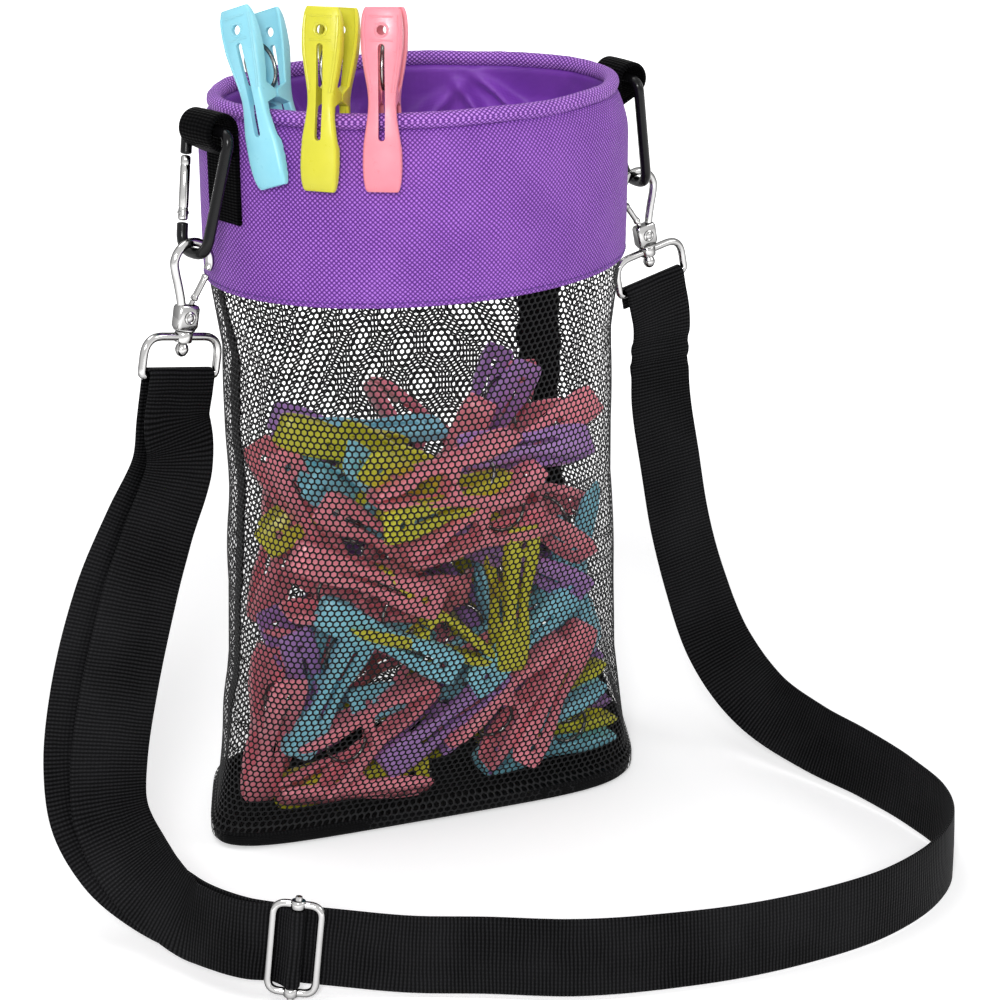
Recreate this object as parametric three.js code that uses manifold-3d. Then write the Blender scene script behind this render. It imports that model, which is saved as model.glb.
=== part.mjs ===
// A hanging peg bag: a stiff oval fabric collar over a net body with a cloth base, two webbing tabs,
// two carabiners, two swivel snap hooks, an adjustable shoulder strap, three pegs clipped on the rim
// and a pile of pegs inside. Millimetres, +Z up, origin at the middle of the base, front towards -Y.
import * as THREE from 'three';
import { mergeVertices } from 'three/addons/utils/BufferGeometryUtils.js';
import Module from 'manifold-3d';

const wasm = await Module();
wasm.setup();

// Driving dimensions of the bag
const BAG_HEIGHT = 325;
const RIM_WIDTH = 178;
const RIM_DEPTH = 136;
const PIPING_DIAMETER = 6.4;
const COLLAR_WIDTH = 187;
const COLLAR_DEPTH = 142;
const COLLAR_HEIGHT = 77;
const SHOULDER_HEIGHT = 13;
const SHELL_THICKNESS = 1.2;
const STIFFENER_THICKNESS = 2;
const LINING_THICKNESS = 0.8;
const HEM_HEIGHT = 14;
const HEM_THICKNESS = 1.2;
const NET_THICKNESS = 1.2;
const NET_WAIST_WIDTH = 171;
const NET_WAIST_DEPTH = 130;
const NET_WAIST_HEIGHT = 150;
const NET_NECK_DROP = 32;
const NET_WINDOWS_ROUND = 16;
const NET_WINDOW_ROWS = 5;
const NET_BAR = 4.5;
const BASE_WIDTH = 200;
const BASE_DEPTH = 84;
const BASE_SKEW = 0.42;
const BASE_SHEAR = -0.13;
const BASE_THICKNESS = 1.6;
const BASE_WALL_HEIGHT = 13;
const SEAM_TAPE_THICKNESS = 1.2;
const LEFT_TAPE_WIDTH = 10;
const RIGHT_TAPE_WIDTH = 22;
const LEFT_TAPE_TURN = 176;
const RIGHT_TAPE_TURN = 27;
const CLEARANCE = 0.3;

// Driving dimensions of the tabs and the metal fittings
const TAB_WIDTH = 20;
const TAB_THICKNESS = 1.6;
const TAB_LENGTH = 38;
const TAB_RIM_DROP = 8;
const TAB_LOOP_RADIUS = 6.5;
const LEFT_TAB_TURN = 193;
const RIGHT_TAB_TURN = 4;
const HANGER_LEAN = 12;
const CARABINER_WIRE = 4.6;
const CARABINER_LENGTH = 49;
const CARABINER_TOP_WIDTH = 27.5;
const CARABINER_FOOT_WIDTH = 16;
const CARABINER_GATE_WIRE = 4;
const GATE_PIN_DIAMETER = 1.4;
const HOOK_WIRE = 3.6;
const HOOK_EYE_WIDTH = 17.4;
const HOOK_EYE_HEIGHT = 25;
const HOOK_GATE_WIRE = 3;
const HOOK_BLOCK_WIDTH = 10;
const HOOK_BLOCK_HEIGHT = 10.4;
const HOOK_BLOCK_DEPTH = 6;
const RIVET_DIAMETER = 2.6;
const STUD_DIAMETER = 3.2;
const STUD_HEAD_DIAMETER = 5.6;
const RING_WIRE = 3.4;
const RING_HEIGHT = 16;
const RING_HUB_DIAMETER = 7.4;
const RING_HUB_HEIGHT = 4.4;

// Driving dimensions of the strap and its slider
const STRAP_WIDTH = 32;
const STRAP_THICKNESS = 1.5;
const STRAP_PLY_SPACING = 4.3;
const STRAP_FOLD_LEG = 6;
const SLIDER_LENGTH = 22;
const SLIDER_WIRE = 3.2;
const SLIDER_BAR_DIAMETER = 3;
const SLIDER_BAR_PROUD = 2;

// Driving dimensions of the pegs
const PEG_LENGTH = 70;
const PEG_PIVOT = 36;
const PEG_HANDLE_WIDTH = 16.5;
const PEG_WAIST_WIDTH = 13;
const PEG_JAW_WIDTH = 15.6;
const PEG_TIP_WIDTH = 12.4;
const PEG_WALL = 3;
const PEG_GRIP = 11;
const PEG_RECESS = 14;
const PEG_SPREAD = 17;
const PEG_SLOT_WIDTH = 2.6;
const PEG_SPRING_WIRE = 1.6;
const PEG_RIM_HOLD = 29.5;
const PEG_EASE = 1.1;

const WIRE_SIDES = 8;

const COLOURS = {
  purple: 0x8a4cc4, lining: 0x7d3fc0, black: 0x141416, net: 0x1b1b1e, chrome: 0xd6d6d8, anodised: 0x1d1f21,
  cyan: 0x86dcea, yellow: 0xf2ee2c, pink: 0xfba3a8, violet: 0x8f6bc9, wire: 0x8d8d90,
};

const bag = new THREE.Group();
bag.name = 'peg_bag';

function material(colour, roughness, metalness) {
  return new THREE.MeshStandardMaterial({ color: COLOURS[colour], roughness, metalness });
}
const fabric = (colour) => material(colour, 0.85, 0);
const plastic = (colour) => material(colour, 0.4, 0);
const metal = (colour) => material(colour, 0.2, 1);

function addMesh(parent, name, geometry, look) {
  const mesh = new THREE.Mesh(geometry, look);
  mesh.name = name;
  parent.add(mesh);
  return mesh;
}

// Solids as grids of points

// Turns a list of vertices and triangles into a geometry whose faces point out.
function closedGeometry(vertices, triangles) {
  let volume = 0;
  for (const [a, b, c] of triangles) {
    volume += vertices[a].dot(new THREE.Vector3().crossVectors(vertices[b], vertices[c]));
  }
  const index = volume > 0 ? triangles.flat() : triangles.flatMap(([a, b, c]) => [a, c, b]);
  const geometry = new THREE.BufferGeometry();
  geometry.setAttribute('position', new THREE.Float32BufferAttribute(vertices.flatMap((v) => v.toArray()), 3));
  geometry.setIndex(index);
  geometry.computeVertexNormals();
  return geometry;
}

// Skins a stack of rings. A closed stack joins its last ring to its first, and an open one has its ends capped.
function skinRings(rings, closed) {
  const count = rings[0].length;
  const vertices = rings.flat();
  const triangles = [];
  const last = closed ? rings.length : rings.length - 1;
  for (let row = 0; row < last; row += 1) {
    const above = (row + 1) % rings.length;
    for (let i = 0; i < count; i += 1) {
      const next = (i + 1) % count;
      const [a, b, c, d] = [row * count + i, row * count + next, above * count + next, above * count + i];
      triangles.push(...(i < count / 2 ? [[a, b, c], [a, c, d]] : [[a, b, d], [b, c, d]]));
    }
  }
  if (!closed) {
    const top = (rings.length - 1) * count;
    for (let i = 1; i < count - 1; i += 1) {
      triangles.push([0, i + 1, i]);
      triangles.push([top, top + i, top + i + 1]);
    }
  }
  return closedGeometry(vertices, triangles);
}

const signedPower = (value, power) => Math.sign(value) * Math.abs(value) ** power;

// A level of the bag is an oval {z, width, depth, square}: square 2 is an ellipse, and more is boxier.
// Its skew slides the back sideways against the front, and its shear brings one end forwards of the other.
function ovalPoint(level, degrees) {
  const angle = THREE.MathUtils.degToRad(degrees);
  const power = 2 / level.square;
  const x = (level.width / 2) * signedPower(Math.cos(angle), power);
  const y = (level.depth / 2) * signedPower(Math.sin(angle), power);
  return new THREE.Vector3(x + (level.skew ?? 0) * y, y + (level.shear ?? 0) * x, level.z);
}

// Turns of a ring's points: both sides and the middle of each of the net's windows.
const windowPitch = 360 / NET_WINDOWS_ROUND;
const barTurn = (360 * NET_BAR) / ((Math.PI * (NET_WAIST_WIDTH + NET_WAIST_DEPTH)) / 2);
const ringTurns = Array.from({ length: NET_WINDOWS_ROUND }, (_, i) => (
  [-0.5, 0, 0.5].map((side) => windowPitch * i + side * (windowPitch - barTurn)))).flat();

function ovalRing(level) {
  return ringTurns.map((turn) => ovalPoint(level, turn));
}

const inset = (level, by) => ({ ...level, width: level.width - 2 * by, depth: level.depth - 2 * by });

// A wall follows its levels on the outside, and the same levels set in by its thickness on the inside.
function wallGeometry(levels, thickness) {
  const outer = levels.map((level) => ovalRing(level));
  const inner = levels.map((level) => ovalRing(inset(level, thickness))).reverse();
  return skinRings([...outer, ...inner], true);
}

// Outward plan direction of an oval at one of its points.
function ovalNormal(level, degrees) {
  const step = 0.5;
  const along = ovalPoint(level, degrees + step).sub(ovalPoint(level, degrees - step));
  return new THREE.Vector3(along.y, -along.x, 0).normalize();
}

// Sweeps

// A section's corners sit at each station's point, along its u and v directions.
function sweepGeometry(section, stations, closed = false) {
  const rings = stations.map(({ point, u, v, scale = 1 }) => section.map(([a, b]) => (
    point.clone().addScaledVector(u, a * scale).addScaledVector(v, b * scale))));
  return skinRings(rings, closed);
}

function circleSection(diameter, sides = WIRE_SIDES) {
  return Array.from({ length: sides }, (_, i) => {
    const angle = (2 * Math.PI * (i + 0.5)) / sides;
    return [(diameter / 2) * Math.cos(angle), (diameter / 2) * Math.sin(angle)];
  });
}

function stripSection(width, thickness) {
  const w = width / 2;
  const t = thickness / 2;
  return [[w, -t], [w, t], [-w, t], [-w, -t]];
}

// Stations along points in a plane: u lies in the plane, across the path, and v is the plane's normal.
function planarStations(points, normal, closed) {
  return points.map((point, i) => {
    const count = points.length;
    const before = closed ? points[(i + count - 1) % count] : points[Math.max(i - 1, 0)];
    const after = closed ? points[(i + 1) % count] : points[Math.min(i + 1, count - 1)];
    const along = after.clone().sub(before).normalize();
    return { point, u: new THREE.Vector3().crossVectors(along, normal).normalize(), v: normal };
  });
}

// A path through corners in two coordinates, with each corner rounded by a curve that starts its radius away.
function roundedPath(corners, closed, steps = 4) {
  const points = [];
  corners.forEach(({ at, radius = 0 }, i) => {
    const corner = new THREE.Vector2(...at);
    if (radius === 0) {
      points.push(corner);
      return;
    }
    const count = corners.length;
    const towards = (j) => new THREE.Vector2(...corners[(j + count) % count].at).sub(corner).setLength(radius);
    const start = corner.clone().add(towards(i - 1));
    const end = corner.clone().add(towards(i + 1));
    points.push(...new THREE.QuadraticBezierCurve(start, corner, end).getPoints(steps));
  });
  if (closed && points[0].distanceTo(points[points.length - 1]) < CLEARANCE) {
    points.pop();
  }
  return points;
}

const inYZ = (p) => new THREE.Vector3(0, p.x, p.y);
const inXZ = (p) => new THREE.Vector3(p.x, 0, p.y);
const AXIS_X = new THREE.Vector3(1, 0, 0);
const AXIS_Y = new THREE.Vector3(0, 1, 0);
const AXIS_Z = new THREE.Vector3(0, 0, 1);

// Booleans

function solid(geometry) {
  const bare = geometry.clone();
  bare.deleteAttribute('normal');
  bare.deleteAttribute('uv');
  const merged = mergeVertices(bare, 1e-4);
  const vertProperties = new Float32Array(merged.getAttribute('position').array);
  const triVerts = new Uint32Array(merged.index.array);
  return new wasm.Manifold(new wasm.Mesh({ numProp: 3, vertProperties, triVerts }));
}

function geometryOf(manifold) {
  const mesh = manifold.getMesh();
  const geometry = new THREE.BufferGeometry();
  geometry.setAttribute('position', new THREE.BufferAttribute(new Float32Array(mesh.vertProperties), 3));
  geometry.setIndex(new THREE.BufferAttribute(new Uint32Array(mesh.triVerts), 1));
  geometry.computeVertexNormals();
  return geometry;
}

function cylinderAlong(axis, diameter, length, centre, sides = 12) {
  const geometry = new THREE.CylinderGeometry(diameter / 2, diameter / 2, length, sides);
  geometry.applyQuaternion(new THREE.Quaternion().setFromUnitVectors(AXIS_Y, axis));
  geometry.translate(centre.x, centre.y, centre.z);
  return geometry;
}

// Bag body

const collarTop = BAG_HEIGHT - PIPING_DIAMETER - CLEARANCE;
const hemZ = BAG_HEIGHT - COLLAR_HEIGHT;
const shoulderZ = collarTop - SHOULDER_HEIGHT;
const hemTop = hemZ + HEM_HEIGHT;
const collarLevel = (z) => ({ z, width: COLLAR_WIDTH, depth: COLLAR_DEPTH, square: 2 });
const rimLevel = { z: collarTop, width: RIM_WIDTH, depth: RIM_DEPTH, square: 2 };

const pipingLevel = inset({ ...rimLevel, z: BAG_HEIGHT - PIPING_DIAMETER / 2 }, PIPING_DIAMETER / 2);

// How much longer the shoulder's slope is than its height. Layers lie that much further apart on it.
const shoulderRun = Math.max(Math.abs(COLLAR_WIDTH - RIM_WIDTH), Math.abs(COLLAR_DEPTH - RIM_DEPTH)) / 2;
const shoulderSlope = Math.hypot(SHOULDER_HEIGHT, shoulderRun) / SHOULDER_HEIGHT;

// The collar's layers stop short of the rim where the piping closes it.
function collarLayer(bottom, by) {
  const slope = [collarLevel(shoulderZ), rimLevel].map((level) => inset(level, by * shoulderSlope));
  return [inset(collarLevel(bottom), by), ...slope];
}

function makeCollar() {
  const stiffenerInset = SHELL_THICKNESS + CLEARANCE;
  const liningInset = stiffenerInset + STIFFENER_THICKNESS + CLEARANCE;
  const hemInset = stiffenerInset + NET_THICKNESS + CLEARANCE;
  addMesh(bag, 'collar_shell', wallGeometry(collarLayer(hemZ, 0), SHELL_THICKNESS), fabric('purple'));
  const inside = hemTop + CLEARANCE;
  addMesh(bag, 'collar_stiffener', wallGeometry(collarLayer(inside, stiffenerInset), STIFFENER_THICKNESS),
    fabric('lining'));
  addMesh(bag, 'collar_lining', wallGeometry(collarLayer(inside, liningInset), LINING_THICKNESS), fabric('lining'));
  const hemLevels = [hemZ, hemTop].map((z) => inset(collarLevel(z), hemInset));
  addMesh(bag, 'collar_hem', wallGeometry(hemLevels, HEM_THICKNESS), fabric('purple'));

  const stations = planarStations(ovalRing(pipingLevel), AXIS_Z, true);
  addMesh(bag, 'rim_piping', sweepGeometry(circleSection(PIPING_DIAMETER), stations, true), fabric('purple'));
}

const baseLevel = (z) => (
  { z, width: BASE_WIDTH, depth: BASE_DEPTH, square: 5, skew: BASE_SKEW, shear: BASE_SHEAR });
const netInset = BASE_THICKNESS + CLEARANCE;
const neckZ = hemZ - NET_NECK_DROP;
const waist = {
  z: NET_WAIST_HEIGHT, width: NET_WAIST_WIDTH, depth: NET_WAIST_DEPTH, square: 2.4, skew: 0, shear: 0,
};
const netShape = [
  inset(baseLevel(BASE_THICKNESS + CLEARANCE), netInset),
  inset(baseLevel(BASE_WALL_HEIGHT), netInset),
  midLevel(inset(baseLevel(BASE_WALL_HEIGHT), netInset), waist, 0.35),
  waist,
  { ...waist, z: neckZ, width: NET_WAIST_WIDTH + 3, depth: NET_WAIST_DEPTH + 3, square: 2.1 },
  inset(collarLevel(hemZ), SHELL_THICKNESS + CLEARANCE),
  inset(collarLevel(hemTop), SHELL_THICKNESS + CLEARANCE),
];

// A level part of the way from one level to another, eased so that most of the change is near the start.
function midLevel(low, high, share) {
  const eased = 1 - (1 - share) ** 2;
  const mix = (a, b, by) => a + (b - a) * by;
  return {
    z: mix(low.z, high.z, share),
    width: mix(low.width, high.width, eased),
    depth: mix(low.depth, high.depth, share),
    square: mix(low.square, high.square, eased),
    skew: mix(low.skew, high.skew, eased),
    shear: mix(low.shear, high.shear, eased),
  };
}

// The net's level at a height, part of the way between the levels that shape it.
function netLevelAt(z) {
  const above = Math.max(netShape.findIndex((level) => level.z >= z), 1);
  const [low, high] = [netShape[above - 1], netShape[above]];
  const share = (z - low.z) / (high.z - low.z);
  const mix = (key) => (low[key] ?? 0) * (1 - share) + (high[key] ?? 0) * share;
  return {
    z, width: mix('width'), depth: mix('depth'), square: mix('square'), skew: mix('skew'), shear: mix('shear'),
  };
}

// The net's levels: its foot in the base, the lower and upper edge of each row of windows, and its top in the hem.
const windowRise = (hemZ - BASE_WALL_HEIGHT) / NET_WINDOW_ROWS;
const windowEdges = Array.from({ length: NET_WINDOW_ROWS }, (_, row) => (
  [row * windowRise + NET_BAR / 2, (row + 1) * windowRise - NET_BAR / 2].map((up) => BASE_WALL_HEIGHT + up))).flat();
const netLevels = [netShape[0].z, BASE_WALL_HEIGHT, ...windowEdges, hemZ, hemTop].map(netLevelAt);

// A net's wall is open in a row of windows wherever isOpen says so, between upright bars and level bands.
function openWall(levels, thickness, isOpen) {
  const count = ringTurns.length;
  const inside = levels.length * count;
  const vertices = [...levels, ...levels.map((level) => inset(level, thickness))].flatMap(ovalRing);
  const triangles = [];
  const stands = (row, column) => row >= 0 && row < levels.length - 1 && !isOpen(row, (column + count) % count);
  const at = (row, column) => row * count + (column % count);
  for (let row = 0; row < levels.length - 1; row += 1) {
    for (let column = 0; column < count; column += 1) {
      if (stands(row, column)) {
        const corners = [at(row, column), at(row, column + 1), at(row + 1, column + 1), at(row + 1, column)];
        const [a, b, c, d] = corners;
        triangles.push([a, b, c], [a, c, d]);
        triangles.push([a + inside, c + inside, b + inside], [a + inside, d + inside, c + inside]);
        const beside = [[row - 1, column], [row, column + 1], [row + 1, column], [row, column - 1]];
        beside.forEach(([r, k], i) => {
          if (!stands(r, k)) {
            const [p, q] = [corners[i], corners[(i + 1) % 4]];
            triangles.push([q, p, p + inside], [q, p + inside, q + inside]);
          }
        });
      }
    }
  }
  return closedGeometry(vertices, triangles);
}

const netWall = solid(wallGeometry(netLevels, NET_THICKNESS));

function makeBody() {
  const isOpen = (row, column) => row >= 2 && row < netLevels.length - 2 && row % 2 === 0 && column % 3 < 2;
  const net = solid(openWall(netLevels, NET_THICKNESS, isOpen));
  addMesh(bag, 'net_body', geometryOf(net), fabric('net'));
  const floor = inset(baseLevel(BASE_THICKNESS), BASE_THICKNESS);
  const tray = [
    baseLevel(0), baseLevel(BASE_WALL_HEIGHT), inset(baseLevel(BASE_WALL_HEIGHT), BASE_THICKNESS), floor,
  ];
  addMesh(bag, 'base_panel', skinRings(tray.map((level) => ovalRing(level)), false), fabric('black'));
}

// A tape runs up the inside of the net, from the base to the hem.
function makeSeamTape(name, width, turn) {
  const bottom = { ...netLevels[1], z: netLevels[0].z + CLEARANCE };
  const stations = [bottom, ...netLevels.slice(1, -1)].map((level) => {
    const normal = ovalNormal(level, turn);
    const point = ovalPoint(level, turn);
    const bow = sagitta(level, turn, width);
    const gap = NET_THICKNESS * (1 + 2 * Math.abs(level.skew)) + 3 * CLEARANCE + SEAM_TAPE_THICKNESS / 2;
    point.addScaledVector(normal, -(gap + bow));
    return { point, u: new THREE.Vector3().crossVectors(AXIS_Z, normal), v: normal };
  });
  const top = stations[stations.length - 1];
  const hemGap = HEM_THICKNESS + CLEARANCE;
  top.point.addScaledVector(top.v, -hemGap);
  addMesh(bag, name, sweepGeometry(stripSection(width, SEAM_TAPE_THICKNESS), stations), fabric('black'));
}

// How far a flat strip of a width stands in from a curved wall at its edges.
function sagitta(level, turn, width) {
  const normal = ovalNormal(level, turn);
  const across = new THREE.Vector3().crossVectors(AXIS_Z, normal);
  const centre = ovalPoint(level, turn);
  let deepest = 0;
  for (let degrees = -40; degrees <= 40; degrees += 0.5) {
    const offset = ovalPoint(level, turn + degrees).sub(centre);
    if (Math.abs(offset.dot(across)) <= width / 2) {
      deepest = Math.max(deepest, -offset.dot(normal));
    }
  }
  return deepest;
}

// Hangers: a tab, a carabiner, a swivel hook and the end of the strap

const barZ = BAG_HEIGHT - TAB_RIM_DROP;
const tabBottom = barZ - TAB_LENGTH;

// A shoulder that leans out pushes the tab's bend out with it.
const shoulderFlare = Math.max(RIM_WIDTH - COLLAR_WIDTH, RIM_DEPTH - COLLAR_DEPTH, 0) / 2 / SHOULDER_HEIGHT;
const tabFlat = CLEARANCE + TAB_THICKNESS / 2 + Math.max(barZ - shoulderZ, 0) * shoulderFlare;
const barOut = tabFlat + TAB_LOOP_RADIUS;
const hookTop = -CARABINER_LENGTH + CARABINER_WIRE / 2 + HOOK_WIRE / 2 + CLEARANCE;
const blockTop = hookTop - HOOK_EYE_HEIGHT;
const blockBottom = blockTop - HOOK_BLOCK_HEIGHT;
const rivetAt = new THREE.Vector3(0, 0, (blockTop + blockBottom) / 2);
const hubTop = blockBottom - 2 * CLEARANCE;
const ringTop = hubTop - RING_HUB_HEIGHT / 2;
const ringBottom = ringTop - RING_HEIGHT;
const ringWidth = STRAP_WIDTH + RING_WIRE + 4 * CLEARANCE;
const foldRadius = RING_WIRE / 2 + CLEARANCE + STRAP_THICKNESS / 2;
const foldEnd = ringBottom - STRAP_FOLD_LEG;

// A turned group whose x points out of the collar, at the tab's middle on the collar's surface.
function tabGroup(turn) {
  const level = collarLevel(0);
  const normal = ovalNormal(level, turn);
  const group = new THREE.Group();
  group.position.copy(ovalPoint(level, turn));
  group.rotation.z = Math.atan2(normal.y, normal.x);
  bag.add(group);
  return group;
}

// Inside a tab group, everything below the tab hangs from the loop and leans out with the strap.
function hangerGroup(tab) {
  const group = new THREE.Group();
  group.position.set(barOut, 0, barZ);
  group.rotation.y = -THREE.MathUtils.degToRad(HANGER_LEAN);
  tab.add(group);
  return group;
}

function makeTab(tab, side) {
  const points = [inXZ({ x: tabFlat, y: tabBottom }), inXZ({ x: tabFlat, y: (tabBottom + barZ) / 2 })];
  const turns = 9;
  for (let i = 0; i <= turns; i += 1) {
    const angle = Math.PI * (1 - (1.28 * i) / turns);
    const x = tabFlat + TAB_LOOP_RADIUS * (1 + Math.cos(angle));
    points.push(inXZ({ x, y: barZ + TAB_LOOP_RADIUS * Math.sin(angle) }));
  }
  points.push(inXZ({ x: tabFlat + TAB_THICKNESS + CLEARANCE, y: barZ - 1.5 * TAB_LOOP_RADIUS }));
  const stations = planarStations(points, AXIS_Y, false).map(({ point, u, v }) => ({ point, u: v, v: u }));
  addMesh(tab, `${side}_tab`, sweepGeometry(stripSection(TAB_WIDTH, TAB_THICKNESS), stations), fabric('black'));
}

// The carabiner lies in the hanger's y-z plane. Its spine is on the side that spine gives.
function makeCarabiner(hanger, side, spine) {
  const top = CARABINER_TOP_WIDTH / 2;
  const foot = CARABINER_FOOT_WIDTH / 2;
  const gateFoot = new THREE.Vector2(foot, -CARABINER_LENGTH);
  const gateTop = new THREE.Vector2(top, 0);
  const onGate = (share) => gateFoot.clone().lerp(gateTop, share);
  const hinge = onGate(0.22);
  const nose = onGate(0.71);
  const flip = (p) => inYZ({ x: -spine * p.x, y: p.y });
  const corners = [
    { at: hinge.toArray() }, { at: gateFoot.toArray(), radius: 7 }, { at: [-foot, -CARABINER_LENGTH], radius: 7 },
    { at: [-top, 0], radius: 5.5 }, { at: gateTop.toArray(), radius: 5.5 }, { at: nose.toArray() },
  ];
  const frame = planarStations(roundedPath(corners, false).map(flip), AXIS_X, false);
  addMesh(hanger, `${side}_carabiner_frame`, sweepGeometry(circleSection(CARABINER_WIRE), frame), metal('anodised'));

  const along = nose.clone().sub(hinge).normalize();
  const start = hinge.clone().addScaledVector(along, CLEARANCE);
  const end = nose.clone().addScaledVector(along, -CLEARANCE);
  const taper = 1.6;
  const gatePoints = [
    start, start.clone().addScaledVector(along, taper), end.clone().addScaledVector(along, -taper), end,
  ];
  const gate = planarStations(gatePoints.map(flip), AXIS_X, false);
  gate[0].scale = 0.5;
  gate[gate.length - 1].scale = 0.6;
  const pivot = flip(start.clone().addScaledVector(along, 2 * taper));
  const hole = cylinderAlong(AXIS_X, GATE_PIN_DIAMETER + 2 * CLEARANCE, 2 * CARABINER_WIRE, pivot, 8);
  const rod = solid(sweepGeometry(circleSection(CARABINER_GATE_WIRE), gate)).subtract(solid(hole));
  addMesh(hanger, `${side}_carabiner_gate`, geometryOf(rod), metal('chrome'));
  const pin = cylinderAlong(AXIS_X, GATE_PIN_DIAMETER, CARABINER_WIRE, pivot, 8);
  addMesh(hanger, `${side}_carabiner_pin`, pin, metal('chrome'));
}

// The hook lies in the hanger's x-z plane, with its gate towards the bag.
function makeHook(hanger, side) {
  const half = HOOK_EYE_WIDTH / 2;
  const archZ = hookTop - half;
  const shoulder = HOOK_BLOCK_WIDTH / 2 - HOOK_WIRE / 2;
  const points = [new THREE.Vector2(shoulder, blockTop - HOOK_WIRE / 2), new THREE.Vector2(shoulder, blockTop)];
  const archSteps = 10;
  for (let i = 0; i <= archSteps; i += 1) {
    const angle = (Math.PI * i) / archSteps;
    points.push(new THREE.Vector2(half * Math.cos(angle), archZ + half * Math.sin(angle)));
  }
  const nose = new THREE.Vector2(-half + 0.6, archZ - 2.4);
  points.push(nose);
  const wire = sweepGeometry(circleSection(HOOK_WIRE), planarStations(points.map(inXZ), AXIS_Y, false));
  const block = new THREE.BoxGeometry(HOOK_BLOCK_WIDTH, HOOK_BLOCK_DEPTH, HOOK_BLOCK_HEIGHT);
  block.translate(0, 0, (blockTop + blockBottom) / 2);
  const tailThickness = HOOK_BLOCK_DEPTH * 0.36;
  const slotDepth = HOOK_BLOCK_HEIGHT / 2 + RIVET_DIAMETER + CLEARANCE;
  const slot = new THREE.BoxGeometry(HOOK_BLOCK_WIDTH, tailThickness + 2 * CLEARANCE, 2 * slotDepth);
  const slotEdge = RIVET_DIAMETER + CLEARANCE;
  slot.translate(slotEdge - HOOK_BLOCK_WIDTH / 2, 0, blockTop);
  const rivetHole = cylinderAlong(AXIS_Y, RIVET_DIAMETER + 2 * CLEARANCE, 2 * HOOK_BLOCK_DEPTH, rivetAt);
  const body = solid(block).subtract(solid(slot)).add(solid(wire)).subtract(solid(rivetHole));
  addMesh(hanger, `${side}_hook_frame`, geometryOf(body), metal('chrome'));

  const rivet = cylinderAlong(AXIS_Y, RIVET_DIAMETER, HOOK_BLOCK_DEPTH + 2 * CLEARANCE, rivetAt);
  addMesh(hanger, `${side}_hook_rivet`, rivet, metal('chrome'));

  const gateEnd = nose.clone().add(new THREE.Vector2(0.3, -HOOK_WIRE / 2));
  const gateFoot = new THREE.Vector2(-shoulder + 0.6, blockTop + HOOK_GATE_WIRE / 2 + CLEARANCE);
  const rod = planarStations([gateEnd, gateFoot].map(inXZ), AXIS_Y, false);
  const tailRadius = RIVET_DIAMETER;
  const tail = cylinderAlong(AXIS_Y, 2 * tailRadius, tailThickness, rivetAt);
  const link = planarStations([gateFoot, new THREE.Vector2(rivetAt.x, rivetAt.z)].map(inXZ), AXIS_Y, false);
  const linkSection = stripSection(HOOK_GATE_WIRE, tailThickness);
  const lever = solid(sweepGeometry(circleSection(HOOK_GATE_WIRE), rod))
    .add(solid(sweepGeometry(linkSection, link))).add(solid(tail)).subtract(solid(rivetHole));
  addMesh(hanger, `${side}_hook_gate`, geometryOf(lever), metal('chrome'));

  const shaftBottom = hubTop - RING_HUB_HEIGHT - CLEARANCE;
  const headRadius = STUD_HEAD_DIAMETER / 2;
  const profile = [[0, blockBottom - CLEARANCE], [STUD_DIAMETER / 2, blockBottom - CLEARANCE],
    [STUD_DIAMETER / 2, shaftBottom], [headRadius * 0.8, shaftBottom - 0.2 * headRadius],
    [headRadius, shaftBottom - headRadius], [headRadius * 0.7, shaftBottom - 1.7 * headRadius],
    [0, shaftBottom - 2 * headRadius]].map(([r, z]) => new THREE.Vector2(r, z));
  const stud = new THREE.LatheGeometry(profile.reverse(), 12);
  stud.rotateX(Math.PI / 2);
  addMesh(hanger, `${side}_swivel_stud`, geometryOf(solid(stud)), metal('chrome'));
}

function makeRing(hanger, side) {
  const half = ringWidth / 2;
  const corners = [
    { at: [half, ringTop], radius: 8 }, { at: [-half, ringTop], radius: 8 },
    { at: [-half, ringBottom], radius: 2 }, { at: [half, ringBottom], radius: 2 },
  ];
  const loop = planarStations(roundedPath(corners, true).map(inXZ), AXIS_Y, true);
  const centre = new THREE.Vector3(0, 0, ringTop);
  const hub = cylinderAlong(AXIS_Z, RING_HUB_DIAMETER, RING_HUB_HEIGHT, centre);
  const bore = cylinderAlong(AXIS_Z, STUD_DIAMETER + 2 * CLEARANCE, 2 * RING_HUB_HEIGHT, centre);
  const ring = solid(sweepGeometry(circleSection(RING_WIRE), loop, true)).add(solid(hub)).subtract(solid(bore));
  addMesh(hanger, `${side}_swivel_ring`, geometryOf(ring), metal('chrome'));

  const points = [new THREE.Vector2(-foldRadius, foldEnd)];
  const steps = 6;
  for (let i = 0; i <= steps; i += 1) {
    const angle = Math.PI * (1 - i / steps);
    points.push(new THREE.Vector2(foldRadius * Math.cos(angle), ringBottom + foldRadius * Math.sin(angle)));
  }
  points.push(new THREE.Vector2(foldRadius, foldEnd));
  const fold = planarStations(points.map(inYZ), AXIS_X, false).map(({ point, u, v }) => ({ point, u: v, v: u }));
  addMesh(hanger, `${side}_strap_fold`, sweepGeometry(stripSection(STRAP_WIDTH, STRAP_THICKNESS), fold),
    fabric('black'));
}

// Strap

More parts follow.
